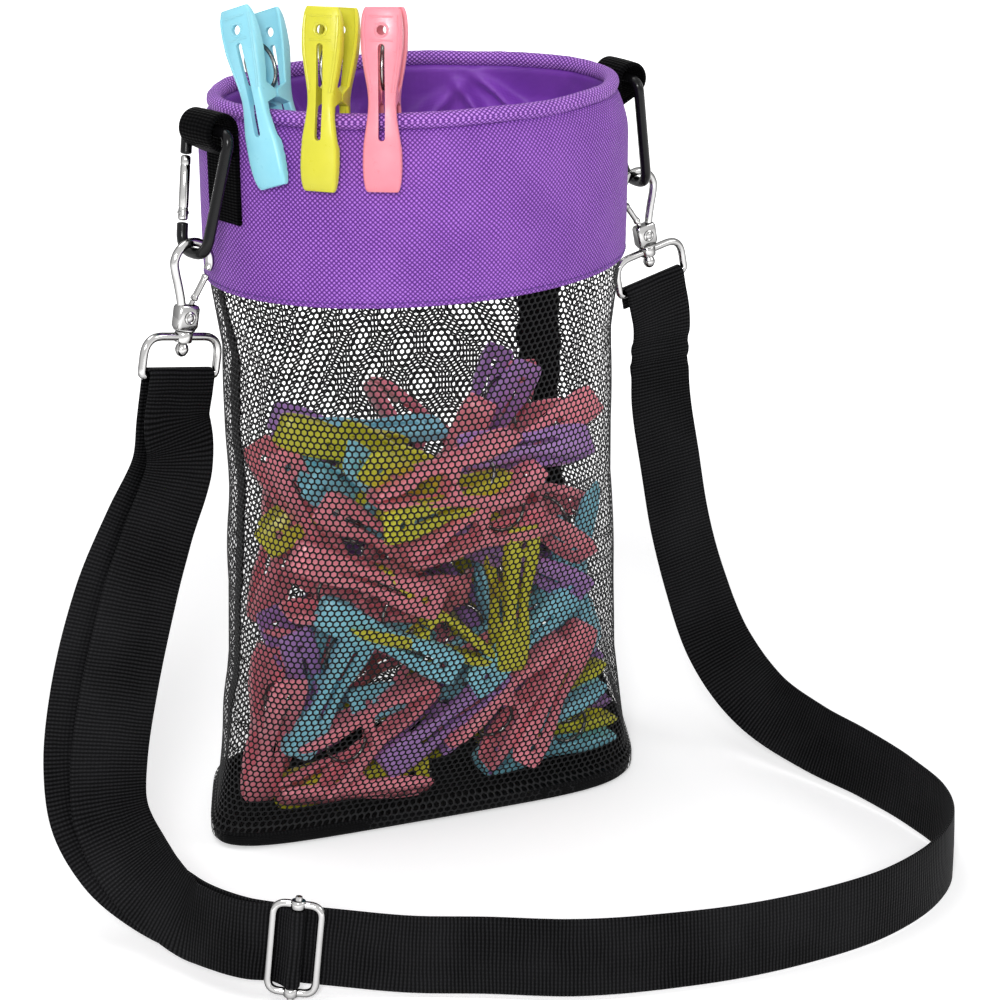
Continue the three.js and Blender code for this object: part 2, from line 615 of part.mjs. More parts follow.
// Chosen points of the strap's middle line, each with the way its width points there.
const floorLine = STRAP_WIDTH / 2 + 1;
const FLOOR_UP = [0.06, 0.16, 0.98];
const LEFT_ROUTE = [
  { at: [-126, -25, 184], across: [0.92, 0.2, -0.34] },
  { at: [-139, -27, 161], across: [0.9, 0.1, -0.42] },
  { at: [-153, -32, 136], across: [0.92, -0.05, -0.38] },
  { at: [-167, -38, 100], across: [0.95, -0.1, -0.26] },
  { at: [-175, -46, 70], across: [0.99, -0.05, -0.06] },
  { at: [-176, -53, 48], across: [0.95, 0.12, 0.22] },
  { at: [-170, -63, 32], across: [0.8, 0.3, 0.5] },
  { at: [-161, -80, 24], across: [0.5, 0.3, 0.8] },
  { at: [-151, -100, 21], across: [0.25, 0.25, 0.93] },
];
const FRONT_ROUTE = [
  { at: [-144, -117, 22.5], across: [0.12, 0.2, 0.97] },
  { at: [-136, -128, 22.6], across: FLOOR_UP },
  { at: [-124, -137, 21.6], across: FLOOR_UP },
  { at: [-107, -146.5, 19.7], across: FLOOR_UP },
  { at: [-82, -160, floorLine], across: FLOOR_UP },
  { at: [-54, -175, floorLine], across: FLOOR_UP },
  { at: [-26, -191, floorLine], across: FLOOR_UP },
  { at: [3, -202, floorLine], across: [0.03, 0.14, 0.99] },
  { at: [34, -210, floorLine], across: [0, 0.1, 1] },
  { at: [68, -214, floorLine], across: [0, 0.06, 1] },
  { at: [106, -213, floorLine], across: [0, 0.04, 1] },
  { at: [137, -204, floorLine], across: [-0.02, 0.04, 1] },
  { at: [159, -188, floorLine], across: [-0.04, 0.02, 1] },
  { at: [170, -167, floorLine], across: [-0.02, 0, 1] },
];
const RIGHT_ROUTE = [
  { at: [171, -142, floorLine + 0.4], across: [0.05, 0, 1] },
  { at: [167, -112, floorLine + 1.5], across: [0.15, 0.02, 0.99] },
  { at: [160, -82, floorLine + 2.5], across: [0.3, 0.06, 0.95] },
  { at: [151, -50, 27], across: [0.52, 0.08, 0.85] },
  { at: [143, -27, 47], across: [0.76, 0.08, 0.64] },
  { at: [138, -11, 76], across: [0.89, 0.07, 0.44] },
  { at: [133.5, -3, 104], across: [0.95, 0.04, 0.3] },
  { at: [130, 2, 134], across: [0.97, 0.02, 0.22] },
  { at: [126.5, 6, 166], across: [0.97, 0.03, 0.2] },
];

// Two points that carry on from the end of a fold's leg, in the bag's frame. On the left the width points inwards.
function legLead(hanger, leg, inwards) {
  hanger.updateWorldMatrix(true, false);
  const way = inwards ? -1 : 1;
  const across = new THREE.Vector3(way, 0, 0).transformDirection(hanger.matrixWorld).toArray();
  return [CLEARANCE, 2 * STRAP_FOLD_LEG].map((drop) => {
    const at = new THREE.Vector3(0, leg * foldRadius, foldEnd - drop).applyMatrix4(hanger.matrixWorld);
    return { at: at.toArray(), across };
  });
}

// Smooth stations through route points: u is the width direction, square to the route, and v the face's normal.
function strapStations(route, stepLength) {
  const line = new THREE.CatmullRomCurve3(route.map(({ at }) => new THREE.Vector3(...at)), false, 'centripetal');
  const ways = route.map(({ across }) => new THREE.Vector3(...across).normalize());
  const spans = ways.length - 1;
  const count = Math.ceil(line.getLength() / stepLength);
  return Array.from({ length: count + 1 }, (_, i) => {
    const t = line.getUtoTmapping(i / count);
    const span = Math.min(Math.floor(t * spans), spans - 1);
    const along = line.getTangent(t);
    const u = ways[span].clone().lerp(ways[span + 1], t * spans - span);
    u.addScaledVector(along, -u.dot(along)).normalize();
    return { point: line.getPoint(t), u, v: new THREE.Vector3().crossVectors(along, u) };
  });
}

function addStrap(name, stations) {
  const section = stripSection(STRAP_WIDTH, STRAP_THICKNESS);
  addMesh(bag, name, sweepGeometry(section, stations), fabric('black'));
}

// Trims a run of stations so that it ends a clearance short of its neighbour.
function trimmed(stations, atStart, atEnd) {
  const run = stations.map((station) => ({ ...station, point: station.point.clone() }));
  const pull = (end, inner, by) => {
    const along = inner.point.clone().sub(end.point).setLength(by);
    end.point.add(along);
  };
  if (atStart) {
    pull(run[0], run[1], CLEARANCE);
  }
  if (atEnd) {
    pull(run[run.length - 1], run[run.length - 2], CLEARANCE);
  }
  return run;
}

const STRAP_STEP = 8;

function makeStrap(leftHanger, rightHanger) {
  const leftLead = legLead(leftHanger, -1, true);
  const rightLead = legLead(rightHanger, -1, false).reverse();
  const whole = [...leftLead, ...LEFT_ROUTE, ...FRONT_ROUTE, ...RIGHT_ROUTE, ...rightLead];
  const stations = strapStations(whole, STRAP_STEP);
  const nearest = (at) => {
    const spot = new THREE.Vector3(...at);
    const gaps = stations.map(({ point }) => point.distanceTo(spot));
    return gaps.indexOf(Math.min(...gaps));
  };
  const sliderAt = nearest(FRONT_ROUTE[2].at);
  const frontEnd = nearest(FRONT_ROUTE[FRONT_ROUTE.length - 1].at);
  const frontStart = nearest(LEFT_ROUTE[LEFT_ROUTE.length - 1].at);
  addStrap('strap_left', trimmed(stations.slice(0, frontStart + 1), false, true));
  addStrap('strap_front', trimmed(stations.slice(frontStart, frontEnd + 1), true, true));
  addStrap('strap_right', trimmed(stations.slice(frontEnd), true, false));

  const spread = 11;
  const returnRoute = legLead(leftHanger, 1, true);
  const returnEnd = sliderAt - Math.ceil(SLIDER_LENGTH / STRAP_STEP);
  for (let i = 3; i <= returnEnd; i += 1) {
    const { point, u, v } = stations[i];
    const share = i / frontStart;
    const sideways = share < 1 ? spread * Math.sin(Math.PI * share) : 0;
    const at = point.clone().addScaledVector(v, STRAP_PLY_SPACING).addScaledVector(u, sideways);
    returnRoute.push({ at: at.toArray(), across: u.toArray() });
  }
  addStrap('strap_return', strapStations(returnRoute, STRAP_STEP));
  makeSlider(stations[sliderAt]);
}

// The slider stands across the strap: x runs along the strap, y out of its face and z down across its width.
function makeSlider(station) {
  const group = new THREE.Group();
  const along = new THREE.Vector3().crossVectors(station.u, station.v).normalize();
  const down = station.u.clone().negate();
  group.setRotationFromMatrix(new THREE.Matrix4().makeBasis(along, station.v, down));
  const under = SLIDER_WIRE / 2 + 2 * CLEARANCE + STRAP_THICKNESS / 2;
  const behind = under + STRAP_THICKNESS + CLEARANCE;
  group.position.copy(station.point).addScaledVector(station.v, behind);
  bag.add(group);
  const half = SLIDER_LENGTH / 2 - SLIDER_WIRE / 2;
  const tall = STRAP_WIDTH / 2 + SLIDER_WIRE / 2 + 2 * CLEARANCE;
  const corners = [[half, tall], [-half, tall], [-half, -tall], [half, -tall]].map((at) => ({ at, radius: 5 }));
  const loop = planarStations(roundedPath(corners, true).map(inXZ), AXIS_Y, true);
  const boss = SLIDER_BAR_DIAMETER + 2 * SLIDER_WIRE / 2;
  let frame = solid(sweepGeometry(circleSection(SLIDER_WIRE), loop, true));
  for (const end of [-1, 1]) {
    const eye = cylinderAlong(AXIS_Z, boss, SLIDER_WIRE, new THREE.Vector3(0, 0, end * tall));
    frame = frame.add(solid(eye));
  }
  const barLength = 2 * tall + SLIDER_WIRE + 2 * SLIDER_BAR_PROUD;
  const hole = cylinderAlong(AXIS_Z, SLIDER_BAR_DIAMETER + 2 * CLEARANCE, 2 * barLength, new THREE.Vector3());
  addMesh(group, 'slider_frame', geometryOf(frame.subtract(solid(hole))), metal('chrome'));
  const bar = cylinderAlong(AXIS_Z, SLIDER_BAR_DIAMETER, barLength, new THREE.Vector3());
  addMesh(group, 'slider_bar', bar, metal('chrome'));

  const over = SLIDER_BAR_DIAMETER / 2 + CLEARANCE + STRAP_THICKNESS / 2;
  const points = [[-SLIDER_LENGTH / 2, -under], [-half * 0.86, -under], [-half * 0.45, -0.2 * under]]
    .map(([x, y]) => new THREE.Vector3(x, y, 0));
  const steps = 6;
  for (let i = 0; i <= steps; i += 1) {
    const angle = Math.PI * (0.62 - (1.12 * i) / steps);
    points.push(new THREE.Vector3(over * Math.cos(angle), over * Math.sin(angle), 0));
  }
  const stations = planarStations(points, AXIS_Z, false).map(({ point, u, v }) => ({ point, u: v, v: u }));
  addMesh(group, 'strap_slider_loop', sweepGeometry(stripSection(STRAP_WIDTH, STRAP_THICKNESS), stations),
    fabric('black'));
}

// Pegs

// A lever stands along z from its jaw, its width along x, on the -y side of the peg's middle.
function leverSolid(grip, recess) {
  const spread = PEG_SPREAD / 2;
  const boss = 3;
  const sections = [
    { z: 0, width: PEG_TIP_WIDTH, inner: grip, wall: 0.6 * PEG_WALL },
    { z: 0.06 * PEG_LENGTH, width: PEG_JAW_WIDTH, inner: grip, wall: 1.3 * PEG_WALL },
    { z: 0.24 * PEG_LENGTH, width: PEG_JAW_WIDTH, inner: grip, wall: 1.5 * PEG_WALL },
    { z: 0.3 * PEG_LENGTH, width: PEG_JAW_WIDTH, inner: recess, wall: 1.1 * PEG_WALL },
    { z: PEG_PIVOT - boss - 1.2, width: PEG_WAIST_WIDTH, inner: recess, wall: PEG_WALL },
    { z: PEG_PIVOT - boss / 2, width: PEG_WAIST_WIDTH, inner: CLEARANCE, wall: recess + PEG_WALL },
    { z: PEG_PIVOT + boss / 2, width: PEG_WAIST_WIDTH + 1, inner: CLEARANCE, wall: recess + PEG_WALL },
    { z: PEG_PIVOT + boss + 1.2, width: PEG_WAIST_WIDTH + 2, inner: recess, wall: 1.1 * PEG_WALL },
    { z: 0.76 * PEG_LENGTH, width: PEG_HANDLE_WIDTH, inner: 0.5 * (recess + spread) + 0.6, wall: PEG_WALL },
    { z: 0.93 * PEG_LENGTH, width: PEG_HANDLE_WIDTH, inner: spread, wall: 0.9 * PEG_WALL },
    { z: PEG_LENGTH, width: PEG_TIP_WIDTH, inner: spread + 0.3, wall: 0.6 * PEG_WALL },
  ];
  const rings = sections.map(({ z, width, inner, wall }) => {
    const w = width / 2;
    const bevel = Math.min(w, wall) * 0.35;
    const outer = inner + wall;
    return [[-w, -inner], [w, -inner], [w, -outer + bevel], [w - bevel, -outer], [bevel - w, -outer],
      [-w, -outer + bevel]].map(([x, y]) => new THREE.Vector3(x, y, z));
  });
  return solid(skinRings(rings, false));
}

const slotBottom = 0.28 * PEG_LENGTH;
const slotTop = 0.805 * PEG_LENGTH;

function slottedLever(grip, recess) {
  const slot = new THREE.BoxGeometry(PEG_SLOT_WIDTH, PEG_LENGTH, slotTop - slotBottom);
  slot.translate(0, 0, (slotTop + slotBottom) / 2);
  return geometryOf(leverSolid(grip, recess).subtract(solid(slot)));
}

// The spring is an open wire ring that passes through both levers' slots and draws them together.
function springGeometry(recess) {
  const radius = recess + PEG_WALL / 2;
  const steps = 20;
  const open = THREE.MathUtils.degToRad(40);
  const points = Array.from({ length: steps + 1 }, (_, i) => {
    const angle = -Math.PI / 2 + open / 2 + ((2 * Math.PI - open) * i) / steps;
    return new THREE.Vector3(0, radius * Math.cos(angle), PEG_PIVOT + 3.4 + radius * 0.9 + radius * Math.sin(angle));
  });
  return sweepGeometry(circleSection(PEG_SPRING_WIRE, 6), planarStations(points, AXIS_X, false));
}

// Rim pegs: turn is the place on the rim, roll leans the peg sideways and yaw turns it on the rim.
const RIM_PEGS = [
  { name: 'cyan', turn: 212, roll: 19, yaw: -9 },
  { name: 'yellow', turn: 227, roll: 0, yaw: -10 },
  { name: 'pink', turn: 242.5, roll: 0, yaw: -9.5 },
];

const wallThickness = SHELL_THICKNESS + STIFFENER_THICKNESS + LINING_THICKNESS + 2 * CLEARANCE;

// A peg leans along the line from the wall's middle at the jaws to the middle of the piping. The jaws open
// over the wall, over the knee that stands out of that line and over the turn of the peg across the wall.
function makeRimPeg({ name, turn, roll, yaw }) {
  const wall = wallThickness * shoulderSlope;
  const jaws = inset(collarLevel(BAG_HEIGHT - PEG_RIM_HOLD), wall / 2);
  const normal = ovalNormal(jaws, turn);
  const inward = ovalPoint(jaws, turn).sub(ovalPoint(pipingLevel, turn)).dot(normal);
  const rise = pipingLevel.z - jaws.z;
  const knee = (inward * (shoulderZ - jaws.z)) / rise;
  const turned = THREE.MathUtils.degToRad(yaw);
  const across = PEG_JAW_WIDTH * Math.abs(Math.sin(turned));
  const grip = (wall + Math.abs(knee) + across) / 2 + PEG_EASE;
  const recess = Math.max(grip, (PIPING_DIAMETER + Math.abs(knee) + across) / 2 + 2 * PEG_EASE);
  const peg = new THREE.Group();
  peg.position.copy(ovalPoint(jaws, turn)).addScaledVector(normal, knee / 2);
  peg.rotation.z = Math.atan2(normal.x, -normal.y) + turned;
  bag.add(peg);
  const tilt = new THREE.Group();
  const tiltCentre = PEG_RIM_HOLD * 0.4;
  peg.position.addScaledVector(normal, (-inward * tiltCentre) / rise);
  tilt.position.z = tiltCentre;
  tilt.rotation.set(-Math.atan2(inward, rise), -THREE.MathUtils.degToRad(roll), 0);
  peg.add(tilt);
  const body = new THREE.Group();
  body.position.z = -tiltCentre;
  tilt.add(body);
  addMesh(body, `${name}_peg_front_lever`, slottedLever(grip, recess), plastic(name));
  const back = addMesh(body, `${name}_peg_back_lever`, slottedLever(grip, recess), plastic(name));
  back.rotation.z = Math.PI;
  addMesh(body, `${name}_peg_spring`, springGeometry(recess), metal('wire'));
}

// Pile pegs, the foremost first: the middle's place across the bag as a share of its half width, its height,
// the slope of its length as seen from the front, and its spin about its length.
const PILE_PEGS = [
  { colour: 'yellow', across: -0.12, height: 153, slope: 183, spin: 0 },
  { colour: 'pink', across: -0.5, height: 122, slope: -26, spin: 0 },
  { colour: 'cyan', across: -0.4, height: 92, slope: -31, spin: 0 },
  { colour: 'pink', across: -0.46, height: 46, slope: 206, spin: 90 },
  { colour: 'yellow', across: -0.5, height: 15, slope: 2, spin: 0 },
  { colour: 'cyan', across: 0.36, height: 80, slope: 208, spin: 0 },
  { colour: 'pink', across: 0.56, height: 46, slope: 235, spin: 0 },
  { colour: 'yellow', across: -0.46, height: 174, slope: -22, spin: 0 },
  { colour: 'cyan', across: -0.46, height: 146, slope: 140, spin: 0 },
  { colour: 'pink', across: 0.2, height: 127, slope: 20, spin: 0 },
  { colour: 'violet', across: 0.16, height: 96, slope: -54, spin: 0 },
  { colour: 'violet', across: -0.74, height: 66, slope: 106, spin: 0 },
  { colour: 'yellow', across: 0.3, height: 36, slope: 32, spin: 90 },
  { colour: 'pink', across: 0.6, height: 100, slope: 80, spin: 0 },
  { colour: 'violet', across: 0.46, height: 164, slope: 62, spin: 0 },
];

// Both levers drawn shut and joined at the fulcrum, with the peg's middle at the origin.
function pilePegGeometry() {
  const closing = Math.atan2(PEG_GRIP / 2 - CLEARANCE, PEG_PIVOT);
  const lever = geometryOf(leverSolid(PEG_GRIP / 2, PEG_RECESS / 2));
  lever.translate(0, 0, -PEG_PIVOT);
  lever.rotateX(closing);
  const other = lever.clone().rotateZ(Math.PI);
  const link = new THREE.BoxGeometry(PEG_WAIST_WIDTH * 0.8, PEG_RECESS, PEG_SPRING_WIRE);
  const peg = geometryOf(solid(lever).add(solid(other)).add(solid(link)));
  return peg.translate(0, 0, PEG_PIVOT - PEG_LENGTH / 2);
}

// How far a geometry moves along a way before it presses on the solids already there.
function travelOf(geometry, way, placed) {
  const meets = (by) => {
    const moved = solid(geometry.clone().translate(way.x * by, way.y * by, way.z * by));
    return placed.some((other) => !moved.intersect(other).isEmpty());
  };
  const step = 3;
  let by = 0;
  while (meets(by) && by > -NET_WAIST_DEPTH) {
    by -= step;
  }
  while (!meets(by + step) && by < NET_WAIST_DEPTH) {
    by += step;
  }
  let far = by + step;
  for (let i = 0; i < 6; i += 1) {
    const middle = (far + by) / 2;
    if (meets(middle)) {
      far = middle;
    } else {
      by = middle;
    }
  }
  return by - CLEARANCE;
}

// The pegs press forwards on the net and on each other.
function makePile() {
  const peg = pilePegGeometry();
  const placed = ['base_panel', 'right_seam_tape', 'left_seam_tape']
    .map((name) => solid(bag.getObjectByName(name).geometry));
  placed.push(netWall);
  const way = new THREE.Vector3(0, -1, 0);
  const behind = NET_WAIST_DEPTH * 0.12;
  PILE_PEGS.forEach(({ colour, across, height, slope, spin }, i) => {
    const name = `pile_peg_${String(i + 1).padStart(2, '0')}_${colour}`;
    const mesh = addMesh(bag, name, peg, plastic(colour));
    mesh.position.set((across * NET_WAIST_WIDTH) / 2, behind, height);
    mesh.rotation.set(0, THREE.MathUtils.degToRad(90 - slope), THREE.MathUtils.degToRad(spin));
    mesh.updateMatrix();
    mesh.position.addScaledVector(way, travelOf(peg.clone().applyMatrix4(mesh.matrix), way, placed));
    mesh.updateMatrix();
    placed.push(solid(peg.clone().applyMatrix4(mesh.matrix)));
  });
}

makeCollar();
makeBody();
makeSeamTape('left_seam_tape', LEFT_TAPE_WIDTH, LEFT_TAPE_TURN);
makeSeamTape('right_seam_tape', RIGHT_TAPE_WIDTH, RIGHT_TAPE_TURN);
const hangers = { left: LEFT_TAB_TURN, right: RIGHT_TAB_TURN };
const spines = { left: 1, right: -1 };
for (const [side, turn] of Object.entries(hangers)) {
  const tab = tabGroup(turn);
  makeTab(tab, side);
  const hanger = hangerGroup(tab);
  makeCarabiner(hanger, side, spines[side]);
  makeHook(hanger, side);
  makeRing(hanger, side);
  hangers[side] = hanger;
}
makeStrap(hangers.left, hangers.right);
RIM_PEGS.forEach(makeRimPeg);
makePile();

export default bag;
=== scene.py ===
import math

import bpy
import numpy as np
from mathutils import Matrix, Quaternion, Vector, noise


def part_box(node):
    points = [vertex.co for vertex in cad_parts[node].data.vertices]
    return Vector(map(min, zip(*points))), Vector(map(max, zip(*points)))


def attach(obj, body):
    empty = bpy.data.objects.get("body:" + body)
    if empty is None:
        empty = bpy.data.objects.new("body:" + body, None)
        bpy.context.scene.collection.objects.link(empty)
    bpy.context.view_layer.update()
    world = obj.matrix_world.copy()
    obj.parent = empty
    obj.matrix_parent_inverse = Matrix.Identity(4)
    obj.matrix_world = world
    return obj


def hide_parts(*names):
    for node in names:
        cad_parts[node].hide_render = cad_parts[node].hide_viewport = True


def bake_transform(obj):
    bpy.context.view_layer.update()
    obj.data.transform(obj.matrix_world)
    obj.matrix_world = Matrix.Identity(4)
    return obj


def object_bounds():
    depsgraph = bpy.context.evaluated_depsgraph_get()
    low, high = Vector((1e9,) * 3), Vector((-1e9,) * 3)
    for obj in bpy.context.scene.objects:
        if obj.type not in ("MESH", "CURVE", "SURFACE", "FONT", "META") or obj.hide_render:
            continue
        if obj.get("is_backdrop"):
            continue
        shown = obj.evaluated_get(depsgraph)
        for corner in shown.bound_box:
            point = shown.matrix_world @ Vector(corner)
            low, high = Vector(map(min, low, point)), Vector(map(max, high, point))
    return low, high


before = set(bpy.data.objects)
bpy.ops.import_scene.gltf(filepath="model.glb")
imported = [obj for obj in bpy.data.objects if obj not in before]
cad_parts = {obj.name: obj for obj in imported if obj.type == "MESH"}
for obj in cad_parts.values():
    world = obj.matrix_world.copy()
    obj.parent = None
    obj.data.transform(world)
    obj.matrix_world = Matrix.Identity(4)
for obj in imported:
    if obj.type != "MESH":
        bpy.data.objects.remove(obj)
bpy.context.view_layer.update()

MM = 0.001
scene = bpy.context.scene
scene.view_settings.view_transform = "Standard"


# Camera

def link(obj):
    scene.collection.objects.link(obj)
    return obj


def aimed(name, data, place, aim):
    """A camera or lamp at a place, turned towards a point."""
    obj = link(bpy.data.objects.new(name, data))
    obj.location = place
    obj.rotation_euler = (Vector(aim) - Vector(place)).to_track_quat("-Z", "Y").to_euler()
    return obj


view = bpy.data.cameras.new("camera")
view.lens, view.sensor_width = 80.7, 36
scene.camera = aimed("camera", view, (-0.3920, -0.8459, 0.4997), (0.0310, -0.0158, 0.1376))


# Mesh helpers

def mesh_object(name, points, faces, corner_uv=None, sharp=None):
    mesh = bpy.data.meshes.new(name)
    mesh.from_pydata([tuple(float(x) for x in p) for p in points], [], faces)
    if corner_uv is not None:
        layer = mesh.uv_layers.new(name="UVMap")
        layer.data.foreach_set("uv", np.asarray(corner_uv, np.float32).ravel())
    mesh.polygons.foreach_set("use_smooth", [True] * len(mesh.polygons))
    if sharp:
        mesh.set_sharp_from_angle(angle=math.radians(sharp))
    mesh.update()
    return link(bpy.data.objects.new(name, mesh))


def grid_data(points, wrap=False, loop=False, caps=False, flip=False):
    """Vertices, faces and UVs in metres of a grid of points: columns run across and rows along."""
    points = np.asarray(points, float)
    rows, cols = points.shape[:2]
    across = points[:, list(range(cols)) + ([0] if wrap else [])]
    along = points[list(range(rows)) + ([0] if loop else [])]
    us = np.r_[0, np.cumsum(np.linalg.norm(np.diff(across, axis=1), axis=2).mean(0))]
    vs = np.r_[0, np.cumsum(np.linalg.norm(np.diff(along, axis=0), axis=2).mean(1))]
    faces, uv = [], []
    for r in range(rows if loop else rows - 1):
        for c in range(cols if wrap else cols - 1):
            r2, c2 = (r + 1) % rows, (c + 1) % cols
            face = [r * cols + c, r * cols + c2, r2 * cols + c2, r2 * cols + c]
            corner = [(us[c], vs[r]), (us[c + 1], vs[r]), (us[c + 1], vs[r + 1]), (us[c], vs[r + 1])]
            faces.append(face[::-1] if flip else face)
            uv += corner[::-1] if flip else corner
    if caps:
        ends = [list(range(cols))[::-1], [(rows - 1) * cols + c for c in range(cols)]]
        for face in ends:
            faces.append(face[::-1] if flip else face)
            uv += [(us[i % cols], 0) for i in face]
    return points.reshape(-1, 3), faces, uv


def outward(verts, faces, uv):
    """A closed part with its faces turned out."""
    v = np.asarray(verts, float)
    volume = sum(np.dot(v[f[0]], np.cross(v[f[i]], v[f[i + 1]])) for f in faces for i in range(1, len(f) - 1))
    if volume >= 0:
        return verts, faces, uv
    turned, start = [], 0
    for face in faces:
        turned += uv[start:start + len(face)][::-1]
        start += len(face)
    return verts, [face[::-1] for face in faces], turned


def merge(name, parts, sharp=None):
    """One mesh object from several closed (vertices, faces, uv) parts."""
    verts, faces, uv, start = [], [], [], 0
    for v, f, t in (outward(*part) for part in parts):
        verts += [tuple(x) for x in v]
        faces += [[i + start for i in face] for face in f]
        uv += list(t)
        start += len(v)
    return mesh_object(name, verts, faces, uv, sharp=sharp)


def unit(v):
    v = np.asarray(v, float)
    return v / np.maximum(np.linalg.norm(v, axis=-1, keepdims=True), 1e-12)


def tangents(line, closed=False):
    line = np.asarray(line, float)
    if closed:
        return unit(np.roll(line, -1, 0) - np.roll(line, 1, 0))
    return unit(np.gradient(line, axis=0))


def distances(line):
    """How far along a line each of its points lies."""
    return np.r_[0, np.cumsum(np.linalg.norm(np.diff(line, axis=0), axis=1))]


def read_rows(at, known, rows):
    """Rows read between the known places that they belong to."""
    return np.stack([np.interp(at, known, column) for column in np.transpose(rows)], 1)


def resample(line, step, closed=False):
    """Points at even steps along a line."""
    line = np.asarray(line, float)
    if closed:
        line = np.vstack([line, line[:1]])
    far = distances(line)
    at = np.linspace(0, far[-1], max(int(round(far[-1] / step)), 2) + 1)
    return read_rows(at[:-1] if closed else at, far, line)


def length_of(line):
    return float(np.linalg.norm(np.diff(np.asarray(line), axis=0), axis=1).sum())


DOME_SHARE = 0.3


def tube_data(line, diameter, normal, closed=False, sides=14, scale=None, round_ends=True):
    """A wire along points in a plane with the given normal. Open ends are blunt, with a low dome."""
    line = np.asarray(line, float)
    size = np.ones(len(line)) if scale is None else np.asarray(scale, float)
    if round_ends and not closed:
        t0, t1 = unit(line[0] - line[1]), unit(line[-1] - line[-2])
        bend = np.array([0.0, 0.35, 0.65, 0.88, 0.99])
        back = (bend[:, None] - 1) * DOME_SHARE * diameter / 2
        line = np.vstack([line[0] + t0 * size[0] * back[::-1], line[1:-1], line[-1] + t1 * size[-1] * back])
        shrink = np.sqrt(1 - bend ** 2)
        size = np.r_[size[0] * shrink[::-1], size[1:-1], size[-1] * shrink]
    along = tangents(line, closed)
    u = unit(np.cross(along, normal))
    v = unit(np.cross(u, along))
    angles = np.linspace(0, 2 * math.pi, sides, endpoint=False)
    ring = np.stack([np.cos(angles), np.sin(angles)], 1) * diameter / 2
    grid = line[:, None] + size[:, None, None] * (ring[None, :, :1] * u[:, None] + ring[None, :, 1:] * v[:, None])
    return grid_data(grid, wrap=True, loop=closed, caps=not closed)


def strip_section(width, thickness, belly):
    """A flat strip's outline with rounded selvedges, as (a, b) pairs that go round it."""
    w, t = width / 2, thickness / 2
    a = np.linspace(-1, 1, 15) * (w - t)
    lift = belly * (1 - (a / w) ** 2)
    top = [(x, t + y) for x, y in zip(a, lift)]
    bottom = [(x, -t + y) for x, y in zip(a[::-1], lift[::-1])]
    right = [(w - t + t * math.cos(p), t * math.sin(p)) for p in (1.0, 0.35, -0.35, -1.0)]
    left = [(-x, -y) for x, y in right]
    return top + right + bottom + left


def strip_data(line, u, v, width, thickness, belly=0.0, waves=None):
    """A strap along points with its width along u and its face along v."""
    section = np.array(strip_section(width, thickness, belly))
    grid = line[:, None] + section[None, :, :1] * u[:, None] + section[None, :, 1:] * v[:, None]
    if waves is not None:
        grid = grid + waves[:, None, None] * v[:, None]
    return grid_data(grid, wrap=True, caps=True)


def lathe_data(profile, matrix, sides=28):
    """A turned piece about a matrix's z from (radius, z) pairs in millimetres."""
    angles = np.linspace(0, 2 * math.pi, sides, endpoint=False)
    grid = [[(r * math.cos(a) * MM, r * math.sin(a) * MM, z * MM) for a in angles] for r, z in profile]
    return placed(grid_data(grid, wrap=True, caps=True), matrix)


def placed(data, matrix):
    return moved(data[0], matrix), *data[1:]


def moved(verts, matrix):
    m = np.array(matrix)
    return np.asarray(verts, float) @ m[:3, :3].T + m[:3, 3]


def along_z(matrix, z):
    return matrix @ Matrix.Translation((0, 0, z))


def arc(radius, angles, a=0.0, b=0.0):
    """(a, b) pairs round a centre."""
    return [(a + radius * math.cos(t), b + radius * math.sin(t)) for t in angles]


def rounded(corners, steps=10):
    """A planar path through ((a, b), radius) corners, each corner a smooth curve."""
    path = []
    count = len(corners)
    for i, (at, radius) in enumerate(corners):
        corner = np.array(at, float)
        if radius == 0:
            path.append(corner)
            continue
        start = corner + unit(np.array(corners[i - 1][0]) - corner) * radius
        end = corner + unit(np.array(corners[(i + 1) % count][0]) - corner) * radius
        for s in np.linspace(0, 1, steps):
            path.append((1 - s) ** 2 * start + 2 * s * (1 - s) * corner + s * s * end)
    return np.array(path)


def in_plane(path, plane):
    """Puts (a, b) pairs into local yz or xz."""
    path = np.asarray(path, float)
    zero = np.zeros(len(path))
    first = (zero, path[:, 0]) if plane == "yz" else (path[:, 0], zero)
    return np.stack([*first, path[:, 1]], 1)


def wire(path, plane, diameter, matrix, closed=False, **options):
    """A wire along (a, b) pairs in a matrix's yz or xz plane."""
    normal = (1, 0, 0) if plane == "yz" else (0, 1, 0)
    return placed(tube_data(in_plane(path, plane), diameter, normal, closed, **options), matrix)


def even(path, step, closed=False):
    """(a, b) pairs at even steps along a path of such pairs."""
    return resample(in_plane(path, "xz"), step, closed)[:, (0, 2)]


def ride(obj, body, material, slot, *nodes):
    obj.data.materials.append(material)
    return settle(obj, body, slot, *nodes)


def settle(obj, body, slot, *nodes):
    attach(obj, body)
    if nodes:
        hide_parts(*nodes)
    return obj


# Materials

